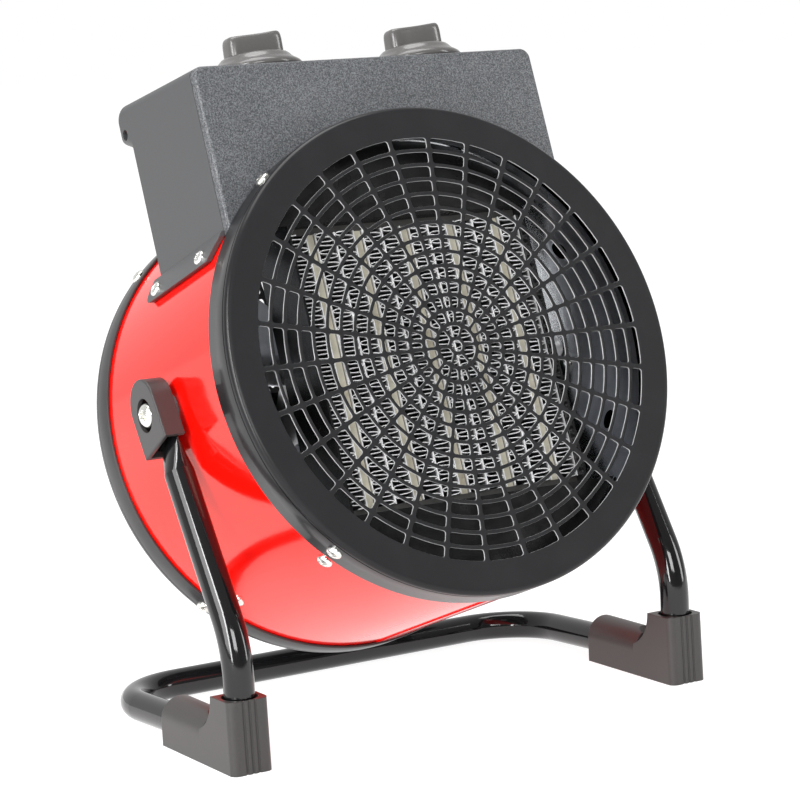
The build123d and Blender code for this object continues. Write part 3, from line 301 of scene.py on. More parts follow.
@dataclass(frozen=True)
class Brush:
    """What a finish paints with.

    Attributes:
        graph: The material's graph.
        inputs: The shader's inputs.
        here: Object coordinates.
    """

    graph: Graph
    inputs: Any
    here: Sock

    def put(self, label: str, value: Sock) -> None:
        """Links a value to one of the shader's inputs."""
        self.graph.feed(self.inputs[label], value)

    def noise(self, scale: float, detail: float = 2.0, rough: float = 0.5, at: Sock | None = None) -> Sock:
        """A noise value.

        Args:
            scale: Waves per metre.
            detail: Octaves.
            rough: The weight of the finer octaves.
            at: Coordinates that stand in for the object's.

        Returns:
            The noise, about 0 to 1.
        """
        where = self.here if at is None else at
        inputs = {"Vector": where, "Scale": scale, "Detail": detail, "Roughness": rough}
        return self.graph.node("ShaderNodeTexNoise", {"noise_dimensions": "3D"}, **inputs)

    def along(self, direction: Triple) -> Sock:
        """How far a point lies along a direction, in metres."""
        return self.graph.vector("DOT_PRODUCT", self.here, direction, "Value")

    def axis_radius(self, centre: Triple, back: Triple) -> Sock:
        """Distance from the axis that runs through a centre, in metres."""
        turned = self.graph.vector("CROSS_PRODUCT", self.graph.vector("SUBTRACT", self.here, centre), back)
        return self.graph.vector("LENGTH", turned, out="Value")

    def relief(self, height: Sock, strength: float, depth: float, soft_edge: float = 0.0) -> None:
        """Bumps the shader's normal.

        Args:
            height: The height pattern.
            strength: The bump's strength.
            depth: The height of a full step, in metres.
            soft_edge: The radius of rounded edges, in metres, or 0.
        """
        bump = self.graph.node("ShaderNodeBump", Strength=strength, Distance=depth, Height=height)
        if soft_edge:
            edge = self.graph.node("ShaderNodeBevel", {"samples": 4}, Radius=soft_edge)
            self.graph.feed(bump.socket.node.inputs["Normal"], edge)
        self.put("Normal", bump)


@dataclass(frozen=True)
class Finish:
    """A procedural finish; each kind fills in paint().

    Attributes:
        name: The material's name.
        colour: The main colour, linear.
        roughness: The main roughness.
        metallic: How metallic it is.
        coat: The weight of a clear coat.
        sheen: The strength of the plain reflection, 0.5 for most plastics and paints.
        warmth: The colour of the plain reflection.
    """

    name: str
    colour: Colour
    roughness: float = 0.4
    metallic: float = 0.0
    coat: float = 0.0
    sheen: float = 0.5
    warmth: Colour = (1.0, 1.0, 1.0)

    def build(self) -> bpy.types.Material:
        """Makes the material."""
        material = bpy.data.materials.new(self.name)
        material.use_nodes = True
        graph = Graph(material.node_tree)
        inputs = material.node_tree.nodes["Principled BSDF"].inputs
        constants = {
            "Base Color": (*self.colour, 1.0),
            "Roughness": self.roughness,
            "Metallic": self.metallic,
            "Coat Weight": self.coat,
            "Coat Roughness": COAT_ROUGHNESS,
            "Specular IOR Level": self.sheen,
            "Specular Tint": (*self.warmth, 1.0),
        }
        for label, value in constants.items():
            inputs[label].default_value = value
        self.paint(Brush(graph, inputs, graph.node("ShaderNodeTexCoord", out="Object")))
        material.diffuse_color = (*self.colour, 1.0)
        return material

    def paint(self, brush: Brush) -> None:
        """Adds the pattern of the finish."""


@dataclass(frozen=True)
class Enamel(Finish):
    """Stoved gloss paint on sheet or tube: fine orange peel, faint clouding and handling marks.

    Attributes:
        shade: The colour of the clouded areas.
        peel: The strength of the orange peel.
        peel_size: Waves of peel per metre.
    """

    shade: Colour = (0.0, 0.0, 0.0)
    peel: float = 0.06
    peel_size: float = 420.0

    def colours(self, brush: Brush) -> Sock:
        """The clouded colour of the paint."""
        return brush.graph.mix(brush.noise(9.0, 3.0), self.shade, self.colour)

    def paint(self, brush: Brush) -> None:
        """Adds clouding, wipe marks in the roughness, and orange peel."""
        brush.put("Base Color", self.colours(brush))
        smears = brush.graph.clamp((brush.noise(38.0, 5.0, 0.65) - 0.52) * 5.0)
        brush.put("Roughness", smears * (self.roughness * 0.55) + self.roughness)
        brush.relief(brush.noise(self.peel_size), self.peel, 0.0006)


@dataclass(frozen=True)
class DrumEnamel(Enamel):
    """The drum's enamel outside, with painted shade on its inner face, which lies in shadow behind the liner.

    Attributes:
        centre: A point on the drum's axis.
        back: The axis's direction.
        inside: Painted shade covers everything within this radius, in metres.
        inside_shade: The colour of the painted shade on the inner face.
    """

    centre: Triple = (0.0, 0.0, 0.0)
    back: Triple = (0.0, 1.0, 0.0)
    inside: float = 0.0
    inside_shade: Colour = (0.02, 0.02, 0.021)

    def colours(self, brush: Brush) -> Sock:
        """The enamel's colour, with painted shade on the inner face."""
        # Painted shade: near-black within the inner radius, where the drum's inner face lies in shadow behind
        # the liner.
        inner = brush.axis_radius(self.centre, self.back) < self.inside
        return brush.graph.mix(inner, super().colours(brush), self.inside_shade)


@dataclass(frozen=True)
class CoverPaint(Finish):
    """The covers' black paint: satin face, smoother rolled flange and a painted highlight on the slots'
    walls.

    Attributes:
        back: The direction along the drum.
        face: How far along it the satin face lies, in metres.
        gloss: The flange's roughness.
        flange_coat: The weight of the clear coat on the flange.
        centre: The middle of the face.
        highlight_radius: The slots, and the painted highlight on their walls, lie within this radius, in
            metres.
        highlight_depths: Where the painted highlight on the slots' walls starts and ends behind the face, in
            metres.
        highlight_colour: The colour of the painted highlight on the slots' walls.
    """

    back: Triple = (0.0, 1.0, 0.0)
    face: float = 0.0
    gloss: float = 0.28
    flange_coat: float = 0.15
    centre: Triple = (0.0, 0.0, 0.0)
    highlight_radius: float = 100.2 * MM
    highlight_depths: Point = (0.26 * MM, 1.1 * MM)
    highlight_colour: Colour = (0.50, 0.50, 0.51)

    def paint(self, brush: Brush) -> None:
        """Adds the face and flange zones, a painted highlight on the slots' walls, fine powder texture and
        faint dust.
        """
        clamp = brush.graph.clamp
        along = brush.along(self.back)
        zone = clamp((along - (self.face + 0.05 * MM)) * (1.0 / (0.35 * MM)))
        powder, dust_and_highlight = brush.noise(1500.0), brush.noise(60.0, 4.0, 0.6)
        brush.put("Coat Weight", zone * self.flange_coat)
        satin = powder * 0.08 + (self.roughness + 0.04) - dust_and_highlight * 0.08
        brush.put("Roughness", satin * (1.0 - zone) + zone * self.gloss)
        dusty = tuple(min(1.0, c * 1.35 + 0.002) for c in self.colour)
        # Painted highlight: a pale band on the slots' walls just behind the face stands in for the light that
        # their rounded edges catch; the dust noise also varies its strength.
        depth, (start, end) = along - self.face, self.highlight_depths
        walls = clamp((depth - start) * (1.0 / (0.16 * MM))) * (depth < end)
        within = brush.axis_radius(self.centre, self.back) < self.highlight_radius
        painted_highlight = walls * within * clamp(dust_and_highlight * 1.3 + 0.25)
        paint = brush.graph.mix(clamp((dust_and_highlight - 0.45) * 1.6), self.colour, dusty)
        brush.put("Base Color", brush.graph.mix(painted_highlight, paint, self.highlight_colour))
        brush.relief(powder * (1.0 - zone * 0.7), 0.10, 0.00015)


@dataclass(frozen=True)
class Moulded(Finish):
    """Moulded plastic with a fine eroded surface and softly rounded edges.

    Attributes:
        pale: The colour of the grain's tops.
        grain: Grains per metre.
        depth: How strong the grain stands out.
        contrast: How far the colour follows the grain.
        soft_edge: The radius of the edges, in metres.
    """

    pale: Colour = (0.2, 0.2, 0.2)
    grain: float = 900.0
    depth: float = 0.15
    contrast: float = 0.4
    soft_edge: float = 0.5 * MM

    def paint(self, brush: Brush) -> None:
        """Adds grain, flow clouding and uneven sheen."""
        grain, cloud = brush.noise(self.grain, 3.0, 0.6), brush.noise(14.0, 3.0)
        tops = brush.graph.clamp((grain - 0.5) * (4.0 * self.contrast) + cloud * 0.5 + 0.2)
        brush.put("Base Color", brush.graph.mix(tops, self.colour, self.pale))
        brush.put("Roughness", grain * 0.16 + cloud * 0.10 + (self.roughness - 0.13))
        brush.relief(grain, self.depth, 0.0003, self.soft_edge)


@dataclass(frozen=True)
class Granite(Finish):
    """The front panel's coarse leather-like grain, with pale tops and dark pits.

    Attributes:
        pit: The colour of the pits.
        top: The colour of the worn tops.
        grain: Grains per metre.
        soft_edge: The radius of the edges, in metres.
    """

    pit: Colour = (0.03, 0.03, 0.035)
    top: Colour = (0.3, 0.3, 0.32)
    grain: float = 900.0
    soft_edge: float = 0.5 * MM

    def paint(self, brush: Brush) -> None:
        """Adds the two-scale grain to colour, sheen and relief."""
        height = brush.noise(self.grain, 2.0, 0.6) * 0.55 + brush.noise(self.grain * 2.3, 2.0, 0.7) * 0.45
        tops = brush.graph.clamp((height - 0.5) * 5.6 + (brush.noise(26.0, 3.0) - 0.5) * 0.35 + 0.5)
        stops = [(0.0, self.pit), (0.45, self.colour), (1.0, self.top)]
        brush.put("Base Color", brush.graph.node("ShaderNodeValToRGB", {"stops": stops}, Fac=tops))
        brush.put("Roughness", self.roughness + 0.12 - tops * 0.24)
        brush.relief(height, 0.30, 0.0004, self.soft_edge)


@dataclass(frozen=True)
class Plated(Finish):
    """Bare or plated metal with drawing marks and a warm or cool bloom.

    Attributes:
        bloom: The colour of the bloom.
        streak: Stretch of the drawing marks along each axis.
        marks: The strength of the marks.
    """

    bloom: Colour = (0.7, 0.7, 0.6)
    streak: Triple = (1.0, 1.0, 1.0)
    marks: float = 0.1

    def paint(self, brush: Brush) -> None:
        """Adds the bloom and the marks."""
        drawn = brush.graph.node("ShaderNodeMapping", Vector=brush.here, Scale=self.streak)
        lines = brush.noise(900.0, 3.0, 0.6, drawn)
        bloom = brush.graph.clamp(brush.noise(160.0) * 1.6 - 0.4)
        brush.put("Base Color", brush.graph.mix(bloom, self.colour, self.bloom))
        brush.put("Roughness", lines * 0.18 + (self.roughness - 0.06))
        brush.relief(lines, self.marks, 0.0001)


@dataclass(frozen=True)
class CutFoil(Finish):
    """Thin foil: bright on its cut front edges and dull with oxide behind them.

    Attributes:
        depth_shade: The colour of the painted shade behind the edges.
        back: The direction along the drum.
        front: How far along it the edges lie, in metres.
        bright: How far behind the edges the brightness ends and the painted shade is full, in metres.
    """

    depth_shade: Colour = (0.1, 0.1, 0.1)
    back: Triple = (0.0, 1.0, 0.0)
    front: float = 0.0
    bright: float = 1.6 * MM

    def paint(self, brush: Brush) -> None:
        """Adds the bright edge, uneven painted shade behind it and a rolled texture."""
        clamp = brush.graph.clamp
        # Painted shade: the foil darkens unevenly behind its front edges, standing in for the shadow deeper
        # between the strips.
        edge = clamp(1.0 - (brush.along(self.back) - self.front) * (1.0 / self.bright))
        unshaded = clamp(edge * (brush.noise(240.0, 3.0) * 0.7 + 0.65))
        lines = brush.noise(1400.0)
        brush.put("Base Color", brush.graph.mix(unshaded, self.depth_shade, self.colour))
        brush.put("Roughness", lines * 0.16 + (self.roughness - 0.08))
        brush.relief(lines, 0.08, 0.0001)


@dataclass(frozen=True)
class Fired(Finish):
    """Fired ceramic: matt, with pores and faint scorch marks.

    Attributes:
        scorch: The colour of the marks.
    """

    scorch: Colour = (0.6, 0.5, 0.35)

    def paint(self, brush: Brush) -> None:
        """Adds pores and marks."""
        marks = brush.graph.clamp((brush.noise(75.0, 4.0, 0.6) - 0.46) * 4.5)
        pores = brush.noise(2200.0)
        brush.put("Base Color", brush.graph.mix(marks * 0.6, self.colour, self.scorch))
        brush.put("Roughness", pores * 0.2 + (self.roughness - 0.1))
        brush.relief(pores, 0.2, 0.0001)


# Mesh helpers


def link(name: str, data: Any) -> bpy.types.Object:
    """Adds a new object to the scene."""
    item = bpy.data.objects.new(name, data)
    bpy.context.scene.collection.objects.link(item)
    return item


def as_mesh(work: bmesh.types.BMesh, name: str) -> bpy.types.Mesh:
    """Turns finished work into a new mesh and frees the work."""
    mesh = bpy.data.meshes.new(name)
    work.to_mesh(mesh)
    work.free()
    return mesh


def lathe(profile: Sequence[Point], segments: int) -> bmesh.types.BMesh:
    """Turns a profile round the local Z axis.

    Args:
        profile: (radius, height) points in metres; a radius of 0 makes a pole.
        segments: Steps round the axis.

    Returns:
        The turned mesh.
    """
    mesh = bmesh.new()
    rings: list[list[bmesh.types.BMVert]] = []
    for radius, height in profile:
        if radius == 0:
            rings.append([mesh.verts.new((0, 0, height))] * segments)
            continue
        turns = (2 * math.pi * step / segments for step in range(segments))
        rings.append([mesh.verts.new((radius * math.sin(a), radius * math.cos(a), height)) for a in turns])
    for low, high in zip(rings, rings[1:]):
        for step in range(segments):
            after = (step + 1) % segments
            unique = list(dict.fromkeys((low[step], low[after], high[after], high[step])))
            if len(unique) > 2:
                mesh.faces.new(unique)
    return mesh


def finish_mesh(mesh: bpy.types.Mesh, angle: float = 40.0, flat: Vector | None = None) -> None:
    """Merges doubles, turns faces outwards and sets the shading.

    Args:
        mesh: The mesh to finish.
        angle: Edges sharper than this stay sharp, in degrees.
        flat: Faces along this direction are shaded flat, if it is given.
    """
    work = bmesh.new()
    work.from_mesh(mesh)
    bmesh.ops.remove_doubles(work, verts=work.verts, dist=MERGE)
    bmesh.ops.recalc_face_normals(work, faces=work.faces)
    work.to_mesh(mesh)
    work.free()
    mesh.shade_smooth()
    mesh.set_sharp_from_angle(angle=math.radians(angle))
    if flat is not None:
        for polygon in mesh.polygons:
            polygon.use_smooth = abs(polygon.normal.dot(flat)) < 0.9995


def add_piece(
    name: str, mesh: bpy.types.Mesh, body: Body, slot: Slot, nodes: Sequence[str], finish: bpy.types.Material
) -> bpy.types.Object:
    """Links a finished mesh as a piece of the object.

    Args:
        name: The piece's name.
        mesh: Its mesh, already in place.
        body: The body that it rides on.
        slot: The record's material slot; not used.
        nodes: The CAD nodes that it stands for.
        finish: Its material.

    Returns:
        The piece.
    """
    mesh.materials.clear()
    mesh.materials.append(finish)
    piece = link(name, mesh)
    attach(piece, body.value)
    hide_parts(*nodes)
    stands_for = ", ".join(nodes)
    LOG.info("%s: %d faces, rides on %s, stands for %s", name, len(mesh.polygons), body.value, stands_for)
    return piece


@dataclass(frozen=True)
class HeadFrame:
    """The tilted frame of the drum: origin in the middle of the grille face, Y back, Z up.

    Attributes:
        matrix: From the head's frame to the object's.
    """

    matrix: Matrix

    @classmethod
    def of_model(cls, frame: dict[str, Any]) -> HeadFrame:
        """Reads the frame off the fan's joint and the front grille.


        Returns:
            The head's frame.
        """
        spin = next(joint for joint in frame["joints"] if joint["name"] == "fan_spin")
        back = -Vector(spin["axis"]).normalized()
        across = Vector((1, 0, 0))
        start = Vector(spin["pos_m"])
        face = min((v.co - start).dot(back) for v in frame["nodes"]["front_grille"].data.vertices)
        turned = Matrix((across, back, across.cross(back))).transposed().to_4x4()
        return cls(Matrix.Translation(start + back * face) @ turned)

    @property
    def back(self) -> Vector:
        """The direction along the drum towards the rear."""
        return self.matrix.col[1].to_3d()

    @property
    def face(self) -> float:
        """How far along the drum's direction the grille face lies."""
        return self.matrix.translation.dot(self.back)

    def span(self, node: str) -> tuple[Vector, Vector]:
        """The lowest and highest corners of a CAD node in the head's frame, mm."""
        inverse = self.matrix.inverted()
        places = [inverse @ vertex.co / MM for vertex in bpy.data.objects[node].data.vertices]
        low = Vector([min(place[axis] for place in places) for axis in range(3)])
        high = Vector([max(place[axis] for place in places) for axis in range(3)])
        return low, high

    def facing(self, depth: float, rear: bool = False) -> Matrix:
        """A frame on the drum's axis whose Z points out of the front, or out of the rear.

        Args:
            depth: Distance behind the grille face, in metres.
            rear: Whether it faces the rear.

        Returns:
            The matrix of that frame.
        """
        turn = Matrix.Rotation(math.radians(90), 4, "X")
        if rear:
            turn = Matrix.Rotation(math.pi, 4, "Z") @ turn
        return self.matrix @ Matrix.Translation((0, depth, 0)) @ turn


# Covers


@dataclass(frozen=True)
class SlotRing:
    """Rings of slots of one count.

    Attributes:
        outer: The outer radius of the first ring, mm.
        rows: How many rings.
        spokes: Slots in each ring.
    """

    outer: float
    rows: int
    spokes: int


@dataclass
class Cover:
    """A pressed sheet cover with rings of rounded slots and a rolled flange.

    Attributes:
        name: The piece's name.
        node: The CAD node that it stands for.
        rings: Its rings of slots.
        flange: The flange's depth, mm.
        hub_hole: The radius of the middle hole, mm, or 0.
        pitch: Distance between rings, mm.
        height: A slot's radial height, mm.
        radius: The cover's radius, mm.
        edge: The rolled edge's radius, mm.
        sheet: The sheet's thickness, mm.
        bevel: The rounding of the slots' edges, mm.
        corner: The slots' corner radius, mm.
        spoke_root: A spoke's width at the middle, mm.
        spoke_growth: How a spoke widens with radius.
        groove: Depth and width of the groove behind the rolled edge, mm.
        groove_gap: The flat between the rolled edge and the groove, mm.
        seat: How far the slotted sheet reaches under the rolled edge, mm.
        chamfer: The size of the flange's and the groove's small chamfers, mm.
        around: Steps round the rim.
        outline: Points round a slot.
        loops: Loops through a slot's wall.
        corner_steps: Steps in each of a slot's corners.
    """

    name: str
    node: str
    rings: tuple[SlotRing, ...]
    flange: float
    hub_hole: float
    pitch: float
    height: float
    radius: float = 115.0
    edge: float = 2.6
    sheet: float = 1.2
    bevel: float = 0.42
    corner: float = 1.15
    spoke_root: float = 1.25
    spoke_growth: float = 0.011
    groove: Point = (0.5, 0.7)
    groove_gap: float = 0.9
    seat: float = 1.0
    chamfer: Point = (0.2, 0.15)
    around: int = 192
    outline: int = 20
    loops: int = 6
    corner_steps: int = 3

    def rim(self) -> bpy.types.Mesh:
        """Turns the rolled flange, open towards the slotted face, and the rim of the middle hole.

        Returns:
            The mesh, its face on the local XY plane and its flange behind it.
        """
        wall, roll = self.sheet, self.radius - self.edge
        turns = [math.radians(18.0 * step) for step in range(6)]
        dip, wide = self.groove
        start, foot = self.edge + self.groove_gap, -self.flange
        trim, slope = self.chamfer
        profile = [(roll - self.seat, 0.0)]
        profile += [(roll + self.edge * math.sin(a), -self.edge + self.edge * math.cos(a)) for a in turns]
        profile += [
            (self.radius, -start),
            (self.radius - dip, -start - slope),
            (self.radius - dip, -start - wide),
            (self.radius, -start - wide - slope),
            (self.radius, foot + trim),
            (self.radius - trim, foot),
            (self.radius - wall + trim, foot),
            (self.radius - wall, foot + trim),
        ]
        inner = self.edge - wall
        profile += [(roll + inner * math.sin(a), -self.edge + inner * math.cos(a)) for a in reversed(turns)]
        profile.append((roll - self.seat, -wall))
        work = lathe([(r * MM, z * MM) for r, z in profile], self.around)
        if self.hub_hole:
            lip = [(self.bevel, 0.0), (0.0, -self.bevel), (0.0, self.bevel - wall), (self.bevel, -wall)]
            hole = as_mesh(lathe([((self.hub_hole + r) * MM, z * MM) for r, z in lip], 24), "hub_hole")
            work.from_mesh(hole)
            bpy.data.meshes.remove(hole)
        return as_mesh(work, self.name)

    def slots(self, tree: GeoTree, ring: SlotRing) -> Sock:
        """Adds the walls of one group of rings, with rounded corners and rounded edges.

        Args:
            tree: The cover's tree.
            ring: The rings to add.

        Returns:
            The walls, open on the front and back.
        """
        given, math_of = tree.given, tree.math
        around, loops, corner_steps = self.outline, self.loops, float(self.corner_steps)
        bare = {"fill_type": "NONE"}
        tube = tree.node("GeometryNodeMeshCylinder", bare, Vertices=around, Side_Segments=loops - 1)
        walls = tree.node("GeometryNodeRealizeInstances", i0=tree.copies(ring.rows * ring.spokes, tube))
        index = tree.index()
        slot = index // float(around * loops)
        local = index - slot * float(around * loops)
        loop = local // float(around)
        step = local - loop * float(around)
        row = slot // float(ring.spokes)
        spoke = slot - row * float(ring.spokes)
        half_steps = around // 2
        second = step // float(half_steps)
        place = step - second * float(half_steps)
        sign = 1.0 - second * 2.0
        last_start = half_steps - 1.0 - corner_steps
        first_turn = tree.clamp(place / corner_steps)
        last_turn = tree.clamp((place - last_start) / corner_steps)
        run = tree.clamp((place - corner_steps) / (last_start - corner_steps))
        turn = math.pi - (first_turn + last_turn) * (math.pi / 2)
        bend = math_of("MINIMUM", loop, (loops - 1.0) - loop) * (math.pi / 4)
        grow = given("Bevel") * (1.0 - math_of("SINE", bend))
        sink = given("Bevel") * (1.0 - math_of("COSINE", bend))
        depth = sink + (loop > (loops / 2 - 0.5)) * (given("Sheet") - sink * 2.0)
        half, corner = given("Slot Height") / 2.0, given("Corner")
        middle = ring.outer * MM - row * given("Row Pitch") - half
        reach = middle * self.half_angle(tree, middle, ring.spokes)
        across = ((reach - corner) * (run * 2.0 - 1.0) + (corner + grow) * math_of("COSINE", turn)) * sign
        out = middle + ((half - corner) + (corner + grow) * math_of("SINE", turn)) * sign
        angle = self.half_angle(tree, out, ring.spokes) * across / reach + spoke * (2 * math.pi / ring.spokes)
        where = tree.xyz(out * math_of("SINE", angle), out * math_of("COSINE", angle), depth * -1.0)
        return tree.moved(walls, where)

    def half_angle(self, tree: GeoTree, radius: Sock, spokes: int) -> Sock:
        """Half the angle that a slot spans at a radius in metres, in radians."""
        width = tree.given("Spoke Root") + radius * tree.given("Spoke Growth")
        return math.pi / spokes - tree.math("ARCSINE", width / (radius * 2.0))

    def sheet_between(self, tree: GeoTree, parts: Sock, behind: int) -> Sock:
        """Fills the sheet between the open loops on the front or on the back.

        Args:
            tree: The cover's tree.
            parts: The rim and all slot walls.
            behind: 0 for the front, 1 for the back.

        Returns:
            The filled sheet.
        """
        height = tree.node("ShaderNodeSeparateXYZ", Vector=tree.node("GeometryNodeInputPosition"), out="Z")
        faces = tree.node("GeometryNodeInputMeshEdgeNeighbors", out="Face Count")
        level = tree.given("Sheet") * float(behind)
        near = tree.math("ABSOLUTE", height + level) < self.bevel * MM * 0.1
        open_edges = near * (faces < 1.5)
        loops = tree.node("GeometryNodeMeshToCurve", Mesh=parts, Selection=open_edges)
        filled = tree.node("GeometryNodeFillCurve", {"mode": "TRIANGLES"}, Curve=loops)
        return tree.node("GeometryNodeSetPosition", Geometry=filled, Offset=tree.xyz(z=level * -1.0))

    def build(self, head: HeadFrame, depth: float, rear: bool, finish: bpy.types.Material) -> None:
        """Makes the cover and puts it on the drum.

        Args:
            head: The head's frame.
            depth: The face's distance behind the grille face, in metres.
            rear: Whether it faces the rear.
            finish: Its paint.
        """
        tree = GeoTree(
            self.name,
            {
                "Row Pitch": self.pitch * MM,
                "Slot Height": self.height * MM,
                "Sheet": self.sheet * MM,
                "Bevel": self.bevel * MM,
                "Corner": self.corner * MM,
                "Spoke Root": self.spoke_root * MM,
                "Spoke Growth": self.spoke_growth,
                "Material": finish,
            },
        )
        rim = Sock(tree, tree.entry.outputs["Geometry"])
        walls = [self.slots(tree, ring) for ring in self.rings]
        parts = tree.node("GeometryNodeJoinGeometry", i0=[rim, *walls])
        sheets = [self.sheet_between(tree, parts, behind) for behind in (0, 1)]
        whole = tree.node("GeometryNodeJoinGeometry", i0=[parts, *sheets])
        tree.close(tree.node("GeometryNodeMergeByDistance", Geometry=whole, Distance=MERGE))
        mesh = tree.bake(self.rim(), head.facing(depth, rear))
        finish_mesh(mesh, 50.0, head.back)
        add_piece(self.name, mesh, Body.HEAD, Slot.COVER, [self.node], finish)


# Heating element


@dataclass
class FinPacks:
    """Corrugated aluminium strips between thin plates, on both sides of every heating bar.

    Attributes:
        bars: How many heating bars.
        pitch: Distance between bars, mm.
        bar: A bar's thickness, mm.
        wave: The length of one corrugation, mm.
        plate: A side plate's thickness, mm.
        foil: The strip's thickness, mm.
        samples: Points along one corrugation.
        uneven: How far the front edges stray, mm.
        seed: The seed of the small irregularities.
    """

    bars: int = 5
    pitch: float = 24.9
    bar: float = 4.4
    wave: float = 4.0
    plate: float = 0.4
    foil: float = 0.38
    samples: int = 12
    uneven: float = 0.14
    seed: int = 7

    def strip(self, tree: GeoTree, waves: int) -> Sock:
        """One corrugated strip whose front edge is slightly uneven.

        Args:
            tree: The strips' tree.
            waves: How many corrugations it has.

        Returns:
            The strip, upright and centred.
        """
        given, index = tree.given, tree.index()
        points = waves * self.samples + 1
        grid = tree.node("GeometryNodeMeshGrid", Size_X=1.0, Size_Y=1.0, Vertices_X=points, Vertices_Y=3)
        along = index // 3.0
        rank = index - along * 3.0
        turns = along / float(self.samples)
        swing = tree.math("SINE", turns * (2 * math.pi)) * 0.49
        climb = turns - tree.math("SINE", turns * (4 * math.pi)) * (0.86 / (4 * math.pi))
        leg = tree.math("FLOOR", turns * 2.0 + 0.5)
        even = {"data_type": "FLOAT"}
        jitter = tree.node("FunctionNodeRandomValue", even, 1, i2=-1.0, i3=1.0, ID=leg, Seed=given("Seed"))
        uneven = jitter * (self.uneven * MM) * (1.0 - rank / 3.0)
        height = climb * given("Wave") - given("Height") / 2.0 + uneven
        return tree.moved(grid, tree.xyz(swing * given("Width"), (rank - 1.0) * given("Depth") * 0.5, height))

    def side_plate(self, tree: GeoTree) -> Sock:
        """One upright plate across the depth of the packs."""
        sheet = tree.node("GeometryNodeMeshGrid", Size_X=1.0, Size_Y=1.0, Vertices_X=2, Vertices_Y=2)
        index = tree.index()
        row = index // 2.0
        height = (index - row * 2.0 - 0.5) * tree.given("Height")
        return tree.moved(sheet, tree.xyz(0.0, (row - 0.5) * tree.given("Depth"), height))

    def build(self, head: HeadFrame, finish: bpy.types.Material) -> None:
        """Makes the strips and plates inside the space that the CAD fins hold.

        Args:
            head: The head's frame.
            finish: Their aluminium.
        """
        low, high = head.span("fin_packs")
        front, rear, top = low.y * MM, high.y * MM, high.z * MM
        waves = int(2 * top / (self.wave * MM))
        tree = GeoTree(
            "fin_strips",
            {
                "Width": ((self.pitch - self.bar) / 2 - 2 * self.plate) * MM,
                "Depth": rear - front,
                "Wave": 2 * top / waves,
                "Height": 2 * top,
                "Pitch": self.pitch * MM,
                "Bar": self.bar * MM,
                "Seed": self.seed,
                "Material": finish,
            },
        )
        pitch, half, index = tree.given("Pitch"), tree.given("Bar") / 2.0, tree.index()
        middle = (self.bars - 1) / 2
        bar = index // 2.0
        side = (index - bar * 2.0) * 2.0 - 1.0
        reach = half + (pitch / 2.0 - half) / 2.0
        place = tree.xyz((bar - middle) * pitch + side * reach)
        strips = tree.copies(2 * self.bars, self.strip(tree, waves), place)
        bar = index // 4.0
        kind = index - bar * 4.0
        outer = kind > 1.5
        side = (kind - outer * 2.0) * 2.0 - 1.0
        near, far = half + self.plate * MM / 2, pitch / 2.0 - self.plate * MM / 2
        place = tree.xyz((bar - middle) * pitch + (near + outer * (far - near)) * side)
        plates = tree.copies(4 * self.bars, self.side_plate(tree), place)
        tree.close(tree.node("GeometryNodeJoinGeometry", i0=[strips, plates]))
        centre = head.matrix @ Matrix.Translation((0, (front + rear) / 2, 0))
        mesh = tree.bake(bpy.data.meshes.new("fin_strips"), centre, self.foil * MM)
        finish_mesh(mesh, 30.0)
        add_piece("fin_strips", mesh, Body.HEAD, Slot.FINS, ["fin_packs"], finish)


# Fan


@dataclass
class FanRotor:
    """The fan's blades, parked with a blade behind the left slots.

    Attributes:
        blades: How many blades.
        parked: The angle of one blade's middle from the top, degrees.
    """

    blades: int = 5
    parked: float = -63.0

    def build(self, head: HeadFrame, node: bpy.types.Object, finish: bpy.types.Material) -> None:
        """Turns a merged copy of the CAD fan about its axis.

        Args:
            head: The head's frame.
            node: The CAD fan.
            finish: Its aluminium.
        """
        mesh = node.data.copy()
        mesh.transform(head.matrix.inverted())
        reach = max(math.hypot(v.co.x, v.co.z) for v in mesh.vertices)
        tips = [v.co for v in mesh.vertices if math.hypot(v.co.x, v.co.z) > 0.9 * reach]
        turns = [self.blades * math.atan2(tip.x, tip.z) for tip in tips]
        middle = math.atan2(sum(map(math.sin, turns)), sum(map(math.cos, turns))) / self.blades
        mesh.transform(head.matrix @ Matrix.Rotation(math.radians(self.parked) - middle, 4, "Y"))
        finish_mesh(mesh, 35.0)
        add_piece("fan_rotor", mesh, Body.FAN, Slot.FAN, [node.name], finish)


# Fasteners


